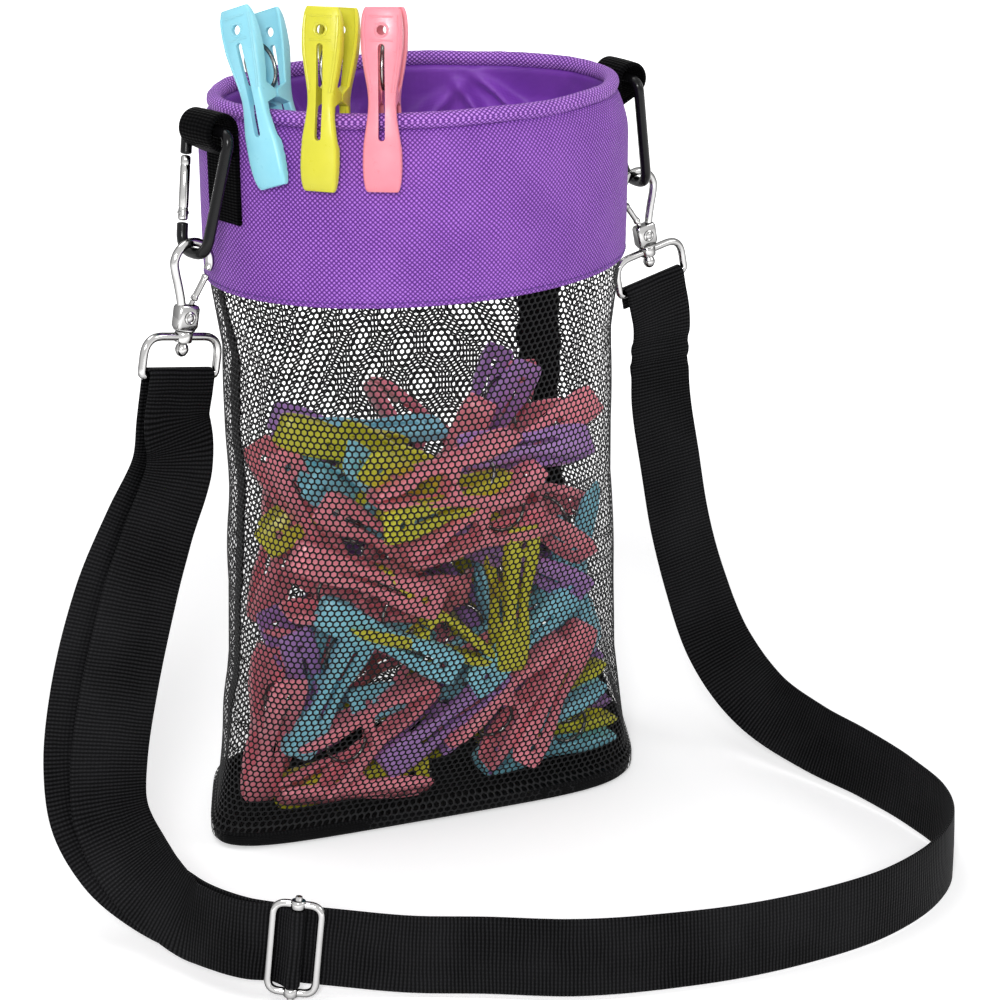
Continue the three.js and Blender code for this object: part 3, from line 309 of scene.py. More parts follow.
class Nodes:
    """Makes and links the nodes of one tree."""

    def __init__(self, tree):
        self.tree = tree

    def put(self, socket, value):
        if isinstance(value, bpy.types.NodeSocket):
            self.tree.links.new(value, socket)
        else:
            socket.default_value = value

    def node(self, kind, inputs=(), **settings):
        made = self.tree.nodes.new(kind)
        for key, value in settings.items():
            setattr(made, key, value)
        for key, value in dict(inputs).items():
            self.put(made.inputs[key], value)
        return made

    def math(self, operation, *values):
        return self.node("ShaderNodeMath", dict(enumerate(values)), operation=operation).outputs[0]

    def plus(self, a, b):
        return self.math("ADD", a, b)

    def times(self, a, b):
        return self.math("MULTIPLY", a, b)

    def levels(self, fac, low, high, out_low=0.0, out_high=1.0):
        return self.node("ShaderNodeMapRange", dict(enumerate((fac, low, high, out_low, out_high)))).outputs[0]

    def seen(self):
        """1 on the rays that see the white background: camera, glossy and transmission."""
        ray = self.node("ShaderNodeLightPath").outputs
        return self.math("MAXIMUM", self.math("MAXIMUM", ray["Is Camera Ray"], ray["Is Glossy Ray"]),
                         ray["Is Transmission Ray"])


class Shade(Nodes):
    """Builds one node material round a Principled shader."""

    def __init__(self, name, **inputs):
        self.material = bpy.data.materials.new(name)
        self.material.use_nodes = True
        super().__init__(self.material.node_tree)
        self.set(**inputs)

    def set(self, **inputs):
        for key, value in inputs.items():
            self.put(self.tree.nodes["Principled BSDF"].inputs[key.replace("_", " ")], value)
        return self.material

    def uv(self):
        split = self.node("ShaderNodeSeparateXYZ", {0: self.node("ShaderNodeTexCoord").outputs["UV"]})
        return split.outputs[0], split.outputs[1]

    def place(self):
        return self.node("ShaderNodeTexCoord").outputs["Object"]

    def noise(self, scale, detail=3.0, roughness=0.5):
        inputs = {"Scale": scale, "Detail": detail, "Roughness": roughness, "Vector": self.place()}
        return self.node("ShaderNodeTexNoise", inputs).outputs["Fac"]

    def wave(self, value, pitch):
        """0 to 1 and back once per pitch."""
        return self.math("MULTIPLY_ADD", self.math("SINE", self.times(value, 2 * math.pi / pitch)), 0.5, 0.5)

    def ramp(self, fac, *stops):
        made = self.node("ShaderNodeValToRGB", {0: fac})
        ramp = made.color_ramp
        while len(ramp.elements) < len(stops):
            ramp.elements.new(0.5)
        for element, (at, colour) in zip(ramp.elements, stops):
            element.position = at
            element.color = (*colour, 1)
        return made.outputs[0]

    def mix(self, fac, a, b):
        made = self.node("ShaderNodeMix", {0: fac}, data_type="RGBA")
        for socket, value in zip(made.inputs[6:8], (a, b)):
            self.put(socket, (*value, 1) if isinstance(value, tuple) else value)
        return made.outputs[2]

    def bump(self, height, distance, strength=1.0, after=None):
        inputs = {"Height": height, "Distance": distance, "Strength": strength}
        if after is not None:
            inputs["Normal"] = after
        return self.node("ShaderNodeBump", inputs).outputs[0]


def tinted(share, colour):
    return tuple(share * c for c in colour)


DIAGONAL, FINE_YARN, TAFFETA_YARN = 0.7071, 0.00034, 0.0006


def diamond_fabric(name, dark, mid, light, pitch, stretch=1.0, depth=0.00035):
    """A dobby weave: raised lozenges in diagonal rows, coloured by their height: painted shade in the gaps between them
    and a painted highlight on their tops.
    """
    s = Shade(name, Roughness=0.62, Specular_IOR_Level=0.2, Sheen_Weight=0.08, Sheen_Roughness=0.4,
              Sheen_Tint=(0.75, 0.5, 1.0, 1))
    u, v = s.uv()
    wobble = s.math("MULTIPLY_ADD", s.noise(90, 2), 0.0012, -0.0006)
    u = s.plus(u, wobble)
    v = s.math("MULTIPLY_ADD", v, stretch, wobble)
    one, two = s.times(s.plus(u, v), DIAGONAL), s.times(s.math("SUBTRACT", u, v), DIAGONAL)
    lump = s.math("POWER", s.times(s.wave(one, pitch), s.wave(two, pitch)), 0.55)
    height = s.plus(lump, s.times(s.wave(u, FINE_YARN), 0.16))
    tone = s.levels(s.noise(38, 4, 0.6), 0.3, 0.7, -0.07, 0.07)
    # Painted shade and highlight: the colour follows the lozenges' height, dark in the gaps and light on the tops; the
    # tone adds random variation.
    colour = s.ramp(s.plus(lump, tone), (0.12, dark), (0.5, mid), (0.95, light))
    fuzz = s.noise(4200, 2, 0.7)
    colour = s.mix(s.levels(fuzz, 0.45, 0.8, 0.0, 0.22), colour, light)
    return s.set(Base_Color=colour, Normal=s.bump(height, depth, 0.9))


def taffeta(name, dark, light):
    """A thin, smooth lining cloth with a soft shine."""
    s = Shade(name, Roughness=0.4, Specular_IOR_Level=0.3, Sheen_Weight=0.06)
    weave = s.times(*(s.wave(way, TAFFETA_YARN) for way in s.uv()))
    cloud = s.times(s.noise(24, 4, 0.6), 0.8)
    colour = s.ramp(s.math("MULTIPLY_ADD", weave, 0.25, cloud), (0.25, dark), (0.8, light))
    soft = s.bump(s.noise(42, 3, 0.55), 0.002, 0.35)
    return s.set(Base_Color=colour, Normal=s.bump(weave, 0.00012, 0.6, soft))


def webbing(name, dark, light, rib, yarn, depth=0.00028, gloss=0.05):
    """Woven tape: ribs across it that waver a little, broken up by the yarns along it, with a painted highlight on the
    rib crests and painted shade between them.
    """
    s = Shade(name, Specular_IOR_Level=gloss, Sheen_Weight=0.002, Sheen_Roughness=0.4)
    u, v = s.uv()
    ribs = s.wave(s.math("MULTIPLY_ADD", s.noise(75, 2), 0.0011, v), rib)
    yarns = s.wave(u, yarn)
    height = s.plus(s.times(ribs, 0.8), s.times(yarns, 0.3))
    cloud = s.levels(s.noise(26, 3), 0.3, 0.7, 0.0, 0.3)
    # Painted highlight and shade: rib crests are coloured lighter and the grooves darker; the cloud adds random tone.
    tone = s.plus(s.times(s.times(ribs, s.levels(yarns, 0, 1, 0.6, 1)), 0.7), cloud)
    colour = s.ramp(tone, (0.1, dark), (0.95, light))
    lint = s.levels(s.noise(900, 3, 0.7), 0.64, 0.8, 0.0, 0.3)
    return s.set(Base_Color=s.mix(lint, colour, tinted(2.0, light)), Roughness=s.levels(ribs, 0, 1, 0.7, 0.42),
                 Normal=s.bump(height, depth, 0.9))


def plastic(name, colour, deep):
    """Moulded polypropylene: a little light goes through it, with a faint mould grain and handling marks."""
    s = Shade(name, IOR=1.49, Subsurface_Weight=0.18, Subsurface_Radius=(0.003, 0.003, 0.003), Subsurface_Scale=0.6)
    tint = s.mix(s.levels(s.noise(60, 3, 0.55), 0.3, 0.75, 0.0, 0.5), colour, deep)
    grain = s.noise(1500, 2, 0.6)
    shine = s.levels(s.noise(260, 5, 0.75), 0.35, 0.75, 0.26, 0.5)
    return s.set(Base_Color=tint, Roughness=shine, Normal=s.bump(grain, 0.00006, 0.35))


def steel(name, colour, rough, worn=None, metal=1.0):
    """Metal with fine polishing lines and duller patches: bare, with a painted dark reflection along its edges, or
    lacquered, with worn spots.
    """
    s = Shade(name, Metallic=metal, Specular_IOR_Level=0.5 if metal else 0.22)
    patch = s.noise(70, 4, 0.6)
    lines = s.noise(900, 4, 0.7)
    tint = s.mix(s.levels(patch, 0.4, 0.75, 0.0, 0.45), colour, tinted(0.72, colour))
    if worn:
        tint = s.mix(s.levels(s.noise(210, 5, 0.7), 0.6, 0.72, 0.0, 0.55), tint, worn)
    shine = s.levels(s.plus(s.times(lines, 0.5), s.times(patch, 0.5)), 0.3, 0.7, rough * 0.6, rough * 1.5)
    if metal:
        # Painted reflection: bare metal's colour darkens where its surface turns edge-on to the view, standing in for
        # dark surroundings reflected there.
        painted_reflection_edge = s.node("ShaderNodeLayerWeight", {"Blend": 0.5}).outputs["Facing"]
        tint = s.mix(s.levels(painted_reflection_edge, 0.1, 0.52, 0.0, 0.92), tint, tinted(0.06, colour))
    return s.set(Base_Color=tint, Roughness=shine, Normal=s.bump(lines, 0.00004, 0.25))


def strand(name, dark, light):
    """Knitted yarn of the net."""
    s = Shade(name, Roughness=0.55, Specular_IOR_Level=0.15)
    fibre = s.noise(2600, 3, 0.6)
    colour = s.ramp(fibre, (0.3, dark), (0.75, light))
    return s.set(Base_Color=colour, Normal=s.bump(fibre, 0.0002, 0.6))


# In the purple fabrics, the dark colour is painted shade in the weave's gaps and the light colour a painted highlight
# on its tops.
PURPLE = diamond_fabric("purple_fabric", (0.085, 0.016, 0.20), (0.285, 0.092, 0.51), (0.50, 0.21, 0.78), 0.0014)
PIPING = diamond_fabric("purple_piping", (0.08, 0.014, 0.20), (0.37, 0.13, 0.62), (0.68, 0.34, 0.94), 0.00135,
                        stretch=0.85, depth=0.0004)
LINING = taffeta("purple_lining", (0.13, 0.026, 0.30), (0.30, 0.075, 0.60))
THREAD = taffeta("purple_thread", (0.07, 0.014, 0.17), (0.17, 0.045, 0.36))
# In the webbings, the light colour is the painted highlight on the rib crests.
WEBBING = webbing("black_webbing", (0.0004, 0.0004, 0.0005), (0.019, 0.019, 0.0205), 0.0015, 0.0016,
                  depth=0.0004, gloss=0.04)
TABBING = webbing("black_tab_webbing", (0.0002, 0.0002, 0.0003), (0.0045, 0.0045, 0.005), 0.00125, 0.0021,
                  depth=0.0005, gloss=0.015)
CLOTH = webbing("black_cloth", (0.0008, 0.0008, 0.001), (0.004, 0.004, 0.0045), 0.0008, 0.0011)
BINDING = webbing("black_binding", (0.001, 0.001, 0.0013), (0.005, 0.005, 0.0055), 0.0016, 0.0012)
NET = strand("black_net", (0.002, 0.002, 0.0025), (0.009, 0.009, 0.01))
BLACK_METAL = steel("black_metal", (0.004, 0.004, 0.0045), 0.2, (0.012, 0.012, 0.013), metal=0.0)
CHROME = steel("chrome", (0.60, 0.595, 0.59), 0.09)
WIRE = steel("spring_wire", (0.34, 0.33, 0.32), 0.26)
PLASTIC = {
    "cyan": plastic("cyan_plastic", (0.30, 0.68, 0.80), (0.20, 0.57, 0.71)),
    "yellow": plastic("yellow_plastic", (0.67, 0.635, 0.04), (0.58, 0.545, 0.03)),
    "pink": plastic("pink_plastic", (0.90, 0.29, 0.35), (0.82, 0.20, 0.27)),
    "violet": plastic("violet_plastic", (0.47, 0.25, 0.60), (0.37, 0.18, 0.50)),
}


# Strap

# The frames that the tabs and hangers have in the solids
HANGERS = {
    "left": Matrix(((-0.93585, 0.29088, 0.19892, -0.09837), (-0.28453, -0.95676, 0.06048, -0.01818),
                    (0.20791, 0, 0.97815, 0.317), (0, 0, 0, 1))),
    "right": Matrix(((0.97403, -0.0917, -0.20704, 0.10084), (0.08969, 0.99579, -0.01907, 0.00565),
                     (0.20791, 0, 0.97815, 0.317), (0, 0, 0, 1))),
}
TABS = {
    "left": Matrix(((-0.95676, 0.29088, 0, -0.0911), (-0.29088, -0.95676, 0, -0.01597), (0, 0, 1, 0), (0, 0, 0, 1))),
    "right": Matrix(((0.99579, -0.0917, 0, 0.09327), (0.0917, 0.99579, 0, 0.00495), (0, 0, 1, 0), (0, 0, 0, 1))),
}
CARABINER_LENGTH = 0.049
HOOKS = {side: along_z(m, -CARABINER_LENGTH) for side, m in HANGERS.items()}
STRAP_WIDTH, STRAP_THICKNESS, PLY_SPACING = 0.032, 0.0015, 0.0043
FOLD_RADIUS, RING_TOP, RING_BOTTOM, FOLD_END = 0.00275, -0.0338, -0.0498, -0.0558
# The route's points in millimetres, each with the way the strap's width points there
UP = (0.06, 0.16, 0.98)
LEFT_ROUTE = [
    ((-126, -25, 184), (0.92, 0.2, -0.34)), ((-139, -27, 161), (0.9, 0.1, -0.42)),
    ((-153, -32, 136), (0.92, -0.05, -0.38)), ((-167, -38, 100), (0.95, -0.1, -0.26)),
    ((-175, -46, 70), (0.99, -0.05, -0.06)), ((-176, -53, 48), (0.95, 0.12, 0.22)),
    ((-170, -63, 32), (0.8, 0.3, 0.5)), ((-161, -80, 24), (0.5, 0.3, 0.8)), ((-151, -100, 21), (0.25, 0.25, 0.93)),
]
FRONT_ROUTE = [
    ((-144, -117, 22.5), (0.12, 0.2, 0.97)), ((-136, -128, 22.6), UP), ((-124, -137, 21.6), UP),
    ((-107, -146.5, 19.7), UP), ((-82, -160, 17), UP), ((-54, -175, 17), UP), ((-26, -191, 17), UP),
    ((3, -202, 17), (0.03, 0.14, 0.99)), ((34, -210, 17), (0, 0.1, 1)), ((68, -214, 17), (0, 0.06, 1)),
    ((106, -213, 17), (0, 0.04, 1)), ((137, -204, 17), (-0.02, 0.04, 1)), ((159, -188, 17), (-0.04, 0.02, 1)),
    ((170, -167, 17), (-0.02, 0, 1)),
]
RIGHT_ROUTE = [
    ((171, -142, 17.4), (0.05, 0, 1)), ((167, -112, 18.5), (0.15, 0.02, 0.99)), ((160, -82, 19.5), (0.3, 0.06, 0.95)),
    ((151, -50, 27), (0.52, 0.08, 0.85)), ((143, -27, 47), (0.76, 0.08, 0.64)), ((138, -11, 76), (0.89, 0.07, 0.44)),
    ((133.5, -3, 104), (0.95, 0.04, 0.3)), ((130, 2, 134), (0.97, 0.02, 0.22)), ((126.5, 6, 166), (0.97, 0.03, 0.2)),
]


def catmull(points, spans_each=24):
    """Centripetal Catmull-Rom through points: places and their span parameter."""
    p = np.asarray(points, float)
    p = np.vstack([2 * p[0] - p[1], p, 2 * p[-1] - p[-2]])
    out, ts = [], []
    for i in range(1, len(p) - 2):
        a, b, c, d = p[i - 1:i + 3]
        d0, d1, d2 = (max(np.linalg.norm(y - x) ** 0.5, 1e-4) for x, y in ((a, b), (b, c), (c, d)))
        t1 = ((b - a) / d0 - (c - a) / (d0 + d1) + (c - b) / d1) * d1
        t2 = ((c - b) / d1 - (d - b) / (d1 + d2) + (d - c) / d2) * d1
        last = i == len(p) - 3
        for s in np.linspace(0, 1, spans_each + 1)[: None if last else -1]:
            out.append(b + t1 * s + (-3 * b + 3 * c - 2 * t1 - t2) * s ** 2 + (2 * b - 2 * c + t1 + t2) * s ** 3)
            ts.append(i - 1 + s)
    return np.array(out), np.array(ts)


def strap_stations(route, step=0.0025):
    """Even stations along a route: places, width directions and face directions."""
    fine, ts = catmull([at for at, _ in route])
    ways = unit([way for _, way in route])
    far = distances(fine)
    at = np.linspace(0, far[-1], int(math.ceil(far[-1] / step)) + 1)
    line = read_rows(at, far, fine)
    u = read_rows(np.interp(at, far, ts), range(len(ways)), ways)
    along = tangents(line)
    u = unit(u - along * (u * along).sum(1, keepdims=True))
    return line, u, np.cross(along, u)


def leg_lead(side, leg):
    m = HOOKS[side]
    way = m.to_3x3() @ Vector((-1 if side == "left" else 1, 0, 0))
    drops = (0.0003, 0.012)
    return [(tuple(m @ Vector((0, leg * FOLD_RADIUS, FOLD_END - d))), tuple(way)) for d in drops]


def scaled(route):
    return [(tuple(x * MM for x in at), way) for at, way in route]


main_route = [*leg_lead("left", -1), *scaled(LEFT_ROUTE + FRONT_ROUTE + RIGHT_ROUTE), *leg_lead("right", -1)[::-1]]
main_run = np.stack(strap_stations(main_route))
COARSE_STEP, RETURN_SWAY, SLIDER_RISE, UPPER_LENGTH = 0.008, 0.011, 4.75 * MM, 0.205


def nearest(line, point):
    return int(np.argmin(np.linalg.norm(line - np.array(point) * MM, axis=1)))


front_start, front_end = (nearest(main_run[0], route[-1][0]) for route in (LEFT_ROUTE, FRONT_ROUTE))
coarse_line, coarse_u, coarse_v = strap_stations(main_route, COARSE_STEP)
last_left, slider_at = (nearest(coarse_line, point) for point in (LEFT_ROUTE[-1][0], FRONT_ROUTE[2][0]))
slider_foot, slider_u, slider_v = coarse_line[slider_at], coarse_u[slider_at], coarse_v[slider_at]
slider_along = unit(np.cross(slider_u, slider_v))
return_route = leg_lead("left", 1)
for i in range(3, slider_at - 2):
    sideways = RETURN_SWAY * math.sin(math.pi * i / last_left) if i < last_left else 0.0
    place = coarse_line[i] + PLY_SPACING * coarse_v[i] + sideways * coarse_u[i]
    return_route.append((tuple(place), tuple(coarse_u[i])))
# The ply comes down to the sewn loop: millimetres before the slider's middle and above the strap
for back, rise in ((17.0, 2.6), (11.0, 1.8)):
    place = slider_foot - slider_along * back * MM + slider_v * rise * MM
    return_route.append((tuple(place), tuple(slider_u)))
return_run = np.stack(strap_stations(return_route))


def strap_piece(name, run, seed, pucker=()):
    """A stretch of webbing with the small waves and cupping of a worn strap."""
    line, u, v = run
    far = distances(line)
    ease = np.clip(np.minimum(far, far[-1] - far) / 0.03, 0, 1)
    waves = np.array([noise.noise(Vector((d * 28, seed, 0.5))) for d in far]) * 0.0005 * ease
    if pucker:
        waves += sum(0.0017 * np.exp(-((far[-1] - d - far) / 0.003) ** 2) for d in pucker)
    obj = merge(name, [strip_data(line, u, v, STRAP_WIDTH, STRAP_THICKNESS, belly=0.00025, waves=waves)], sharp=50)
    obj.data.materials.append(WEBBING)
    return obj


left_run, right_run = main_run[:, :front_start + 1], main_run[:, front_end:]
front_run = main_run[:, front_start:front_end + 1]
split = int(round(UPPER_LENGTH / length_of(return_run[0]) * return_run.shape[1]))
upper_run, lower_run = return_run[:, :split + 1], return_run[:, split:]

strap_left = strap_piece("strap_left_run", left_run, 1)
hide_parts("strap_left")
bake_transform(strap_left)
strap_front = strap_piece("strap_front_run", front_run, 2)
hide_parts("strap_front")
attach(strap_front, "bag")
strap_right = strap_piece("strap_right_run", right_run, 3, (0.024, 0.033))
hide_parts("strap_right")
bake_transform(strap_right)
strap_upper = strap_piece("strap_return_upper", upper_run, 4)
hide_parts("strap_return")
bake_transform(strap_upper)
strap_lower = strap_piece("strap_return_lower", lower_run, 5)
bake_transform(strap_lower)


# Slider, with the strap's end sewn round its middle bar

slider_axes = np.c_[slider_along, slider_v, -slider_u, slider_foot + slider_v * SLIDER_RISE]
SLIDER = Matrix([*slider_axes.tolist(), (0, 0, 0, 1)])
SQUARE = ((1, 1), (-1, 1), (-1, -1), (1, -1))
QUARTER = math.pi / 2


def both_ends(half):
    """A turned profile that is the same above and below z 0."""
    return half + [(r, -z) for r, z in half[::-1]]


def hardware(name, parts, body, node, sharp=40, material=CHROME, slot="chrome"):
    ride(merge(name, parts, sharp=sharp), body, material, slot, node)


def tape(name, line, across, matrix, body, node, width=STRAP_WIDTH, thickness=STRAP_THICKNESS, belly=0.0,
         material=WEBBING):
    """A strip of webbing along local points, its width along one local axis."""
    u = np.tile(across, (len(line), 1))
    strip = placed(strip_data(line, u, np.cross(tangents(line), u), width, thickness, belly), matrix)
    hardware(name, [strip], body, node, 50, material, "black_webbing")


half, tall = 9.4 * MM, 18.2 * MM
loop = rounded([((x * half, z * tall), 5 * MM) for x, z in SQUARE])
eyelet = both_ends([(1.6, -1.7), (2.7, -1.7), (3.1, -1.2)])
eyelets = [lathe_data(eyelet, along_z(SLIDER, end * tall)) for end in (-1, 1)]
hardware("slider_loop", [wire(loop, "xz", 3.2 * MM, SLIDER, True, sides=18), *eyelets], "slider", "slider_frame")
post = both_ends([(0.6, -21.8), (1.3, -21.5), (1.5, -20.8)])
hardware("slider_middle_bar", [lathe_data(post, SLIDER)], "slider", "slider_bar")

under, over = 2.95 * MM, 2.55 * MM
sewn = [(-0.011, -under), (-half * 0.86, -under), (-half * 0.45, -0.2 * under)]
sewn += arc(over, math.pi * (0.62 - 1.12 * np.linspace(0, 1, 14)))
sewn, _ = catmull([(x, y, 0) for x, y in sewn], 4)
tape("slider_strap_loop", sewn, (0.0, 0.0, 1.0), SLIDER, "slider", "strap_slider_loop")


# Tabs and hangers: carabiner, swivel hook and ring on each side

def make_tab(side):
    flat, bend, bar, bottom = 1.1 * MM, 6.5 * MM, 317 * MM, 279 * MM
    path = [(flat, bottom), (flat, bottom + 8 * MM), (flat, (bottom + bar) / 2)]
    path += arc(bend, math.pi * (1 - 1.28 * np.linspace(0, 1, 16)), flat + bend, bar)
    path.append((flat + 1.9 * MM, bar - 1.5 * bend))
    line, _ = catmull(in_plane(path, "xz"), 4)
    tape(side + "_tab_loop", line, (0.0, 1.0, 0.0), TABS[side], "bag", side + "_tab", 0.020, 0.0019, 0.0002, TABBING)


def gate_rod(start, end, first, last, plane, diameter, matrix, **options):
    """A straight rod between two pairs. Stops are (millimetres from the start or end, share of the diameter)."""
    way, whole = unit(end - start), np.linalg.norm(end - start) / MM
    stops = [*first, *((whole - d, share) for d, share in last)]
    path = [start + way * d * MM for d, _ in stops]
    return wire(path, plane, diameter, matrix, scale=[share for _, share in stops], **options)


def make_carabiner(side):
    m, body, mirror = HANGERS[side], side + "_hanger", np.array((-1 if side == "left" else 1, 1))
    foot, top = np.array((8 * MM, -CARABINER_LENGTH)), np.array((13.75 * MM, 0.0))
    hinge, nose = (foot + (top - foot) * share for share in (0.22, 0.76))
    corners = [(hinge, 0), (foot, 7 * MM), (foot * (-1, 1), 7 * MM),
               (top * (-1, 1), 5.5 * MM), (top, 5.5 * MM), (nose, 0)]
    bow = wire(even(rounded(corners) * mirror, 0.0011), "yz", 4.6 * MM, m, sides=18)
    hardware(side + "_carabiner_bow", [bow], body, side + "_carabiner_frame", 40, BLACK_METAL, "black_metal")
    way = unit(nose - hinge) * mirror
    start, end = hinge * mirror + way * 0.5 * MM, nose * mirror - way * 0.2 * MM
    first = [(0, 0.88), (0.8, 0.98), (1.8, 1.0), (4.6, 1.0), (4.9, 0.93), (5.3, 0.93), (5.6, 1.0)]
    last = [(4.4, 1.0), (4.1, 0.93), (3.7, 0.93), (3.4, 1.0), (1.8, 1.0), (0.8, 0.97), (0, 0.86)]
    rod = gate_rod(start, end, first, last, "yz", 4 * MM, m, sides=20)
    hardware(side + "_carabiner_latch", [rod], side + "_carabiner_gate", side + "_carabiner_gate", 35)
    turn = m @ Matrix.Translation((0, *(start + way * 3.2 * MM))) @ Matrix.Rotation(QUARTER, 4, "Y")
    head = both_ends([(0.4, -2.4), (0.8, -2.3), (0.9, -2.1)])
    hardware(side + "_carabiner_rivet", [lathe_data(head, turn, 14)], body, side + "_carabiner_pin")


def box_data(size, bevel, matrix):
    """A block with rounded edges, as a stack of rounded outlines."""
    sx, sy, sz = (s / 2 for s in size)
    levels = [(-sz, bevel), (-sz + bevel * 0.3, bevel * 0.3), (-sz + bevel, 0)]
    levels += [(-z, cut) for z, cut in levels[::-1]]
    rings = []
    for z, cut in levels:
        corners = [((x * (sx - cut), y * (sy - cut)), bevel) for x, y in SQUARE]
        rings.append([(a, b, z) for a, b in rounded(corners, 5)])
    return placed(grid_data(rings, wrap=True, caps=True), matrix)


def make_hook(side):
    m, body = HOOKS[side], side + "_hook"
    block_at = along_z(m, -25.8 * MM)
    path = [(2.6, -23), (3.1, -20.1), (5.4, -13.5), (7.6, -8.1)]
    path += [*arc(8.7, np.linspace(0, math.pi, 15), b=-4.3), (-8.1, -6.7)]
    line, _ = catmull(in_plane(path, "xz") * MM, 5)
    bow = placed(tube_data(line, 3.6 * MM, (0, 1, 0), sides=18), m)
    block = box_data((10 * MM, 6 * MM, 10.4 * MM), 1.5 * MM, block_at)
    neck = [(1.6, -31.4), (4.2, -31.3), (4.5, -31.0), (4.5, -30.6), (4.0, -30.2), (1.6, -30.0)]
    hardware(side + "_hook_bow", [bow, block, lathe_data(neck, m)], body, side + "_hook_frame", 38)
    rivet = both_ends([(0.2, -3.8), (1.2, -3.8), (1.6, -3.5), (2.0, -3.7), (2.6, -3.4), (2.7, -3.0), (1.3, -2.9)])
    turn = block_at @ Matrix.Rotation(QUARTER, 4, "X")
    hardware(side + "_hook_pin", [lathe_data(rivet, turn)], body, side + "_hook_rivet")
    start, end = np.array((-7.8, -8.5)) * MM, np.array((-2.7, -19.1)) * MM
    first = [(0, 0.8), (0.5, 1.02), (1.6, 1.06), (2.0, 0.9), (2.6, 0.88)]
    last = [(2.6, 0.88), (2.0, 0.9), (1.6, 1.06), (0.4, 1.06), (0, 0.9)]
    rod = gate_rod(start, end, first, last, "xz", 3 * MM, m)
    tail = wire([end, (-1.2 * MM, -22.5 * MM), (0.0, -25.8 * MM)], "xz", 2.1 * MM, m)
    hardware(side + "_hook_latch", [rod, tail], side + "_hook_gate", side + "_hook_gate", 35)
    stud = [(0.6, -42.0), (1.8, -41.3), (2.6, -39.9), (2.8, -38.9),
            (2.4, -37.4), (1.6, -36.4), (1.6, -31.4), (0.6, -31.3)]
    hardware(side + "_swivel_ball", [lathe_data(stud, m)], body, side + "_swivel_stud")


def make_ring(side):
    m, body, half = HOOKS[side], side + "_hanger", 18.3 * MM
    corners = [((x * half, RING_TOP if z > 0 else RING_BOTTOM), (8 if z > 0 else 2) * MM) for x, z in SQUARE]
    hoop = wire(even(rounded(corners), 0.0012, True), "xz", 3.4 * MM, m, True, sides=18)
    hub = [(2.0, -36.0), (3.4, -36.0), (3.7, -35.5), (3.7, -32.1), (3.4, -31.6), (2.0, -31.6)]
    hardware(side + "_ring", [hoop, lathe_data(hub, m)], body, side + "_swivel_ring")
    leg = [(FOLD_RADIUS, RING_BOTTOM - 0.002), (FOLD_RADIUS, FOLD_END - 0.0018)]
    path = [(-y, z) for y, z in leg[::-1]] + arc(FOLD_RADIUS, np.linspace(math.pi, 0, 11), b=RING_BOTTOM) + leg
    tape(side + "_fold", in_plane(path, "yz"), (1.0, 0.0, 0.0), m, body, side + "_strap_fold")


for side in ("left", "right"):
    make_tab(side)
    make_carabiner(side)
    make_hook(side)
    make_ring(side)


# Collar

COLLAR_HALF = np.array((93.5, 71.0))
TURNS = np.linspace(90, 450, 361)[:-1]


def oval(half_width, half_depth, square, degrees):
    a = np.radians(np.asarray(degrees, float))
    power = 2 / square
    return np.stack([half_width * np.sign(np.cos(a)) * np.abs(np.cos(a)) ** power,
                     half_depth * np.sign(np.sin(a)) * np.abs(np.sin(a)) ** power], -1)


def level(plan, z):
    """A plan in millimetres laid at a height, in metres."""
    return np.c_[plan, np.full(len(plan), z)] * MM


def collar_ring(inset, z, ruck, turns=TURNS):
    """A ring round the collar at an inset and a height in millimetres, pushed out by ruck(turn, z)."""
    plan = oval(93.5 - inset, 71 - inset * 0.97, 2, turns)
    push = np.array([ruck(t, z) for t in turns])
    return level(plan + unit(plan / COLLAR_HALF ** 2) * push[:, None], z)


def band(name, profile, ruck, flip=False):
    """A cloth band round the collar through (inset, height) pairs in millimetres."""
    return mesh_object(name, *grid_data([collar_ring(inset, z, ruck) for inset, z in profile], wrap=True, flip=flip))


def ripple(turn, z, seed, scale=3.0, tall=0.02):
    a = math.radians(turn)
    return noise.noise(Vector((math.cos(a) * scale, math.sin(a) * scale, z * tall + seed)))


HEM_SEAM = 250.4


def shell_ruck(turn, z):
    body = math.sin(math.pi * min(max((z - 250) / 66, 0), 1))
    pucker = math.exp(-((z - HEM_SEAM) / 1.1) ** 2) + math.exp(-((z - 258.5) / 1.0) ** 2) * 0.5
    return 0.5 * body * ripple(turn, z, 4) + 0.25 * body * ripple(turn, z, 9, 9, 0.05) - 0.28 * pucker


shell_profile = [(3.4, 262), (2.6, 251), (2.2, 249.2), (1.4, 248.2), (0.6, 248.3), (0.1, 249.2), (0, 250.4), (0, 251.6)]
shell_profile += [(0, z) for z in np.linspace(253, 301, 30)]
shell_profile += [(0.15, 303.5), (0.5, 306), (1.15, 308.5), (1.9, 311), (2.75, 313.5), (3.6, 315.6), (4.3, 317),
                  (5.0, 318), (5.9, 318.7), (7.0, 319)]
collar = band("collar_cloth", shell_profile, shell_ruck)
ride(collar, "bag", PURPLE, "purple_fabric", "collar_shell", "collar_stiffener")


# Turn, slant, width, height of the middle, half height and depth of the lining's soft folds
LINING_FOLDS = [
    (106, 0.5, 2.7, 296, 15, 8.5), (93, -0.35, 2.5, 290, 13, 5.5), (70, -0.7, 3.4, 293, 14, 8.5),
    (52, 0.5, 2.4, 298, 12, 7.0), (38, 0.9, 2.8, 299, 13, 9.5), (24, -0.6, 2.6, 292, 14, 7.5),
    (262, 0.12, 3.2, 291, 16, 2.6), (300, -0.3, 5, 286, 15, 3.6), (340, 0.4, 5, 288, 15, 4.0),
    (150, 0.4, 5, 289, 14, 4.0),
]


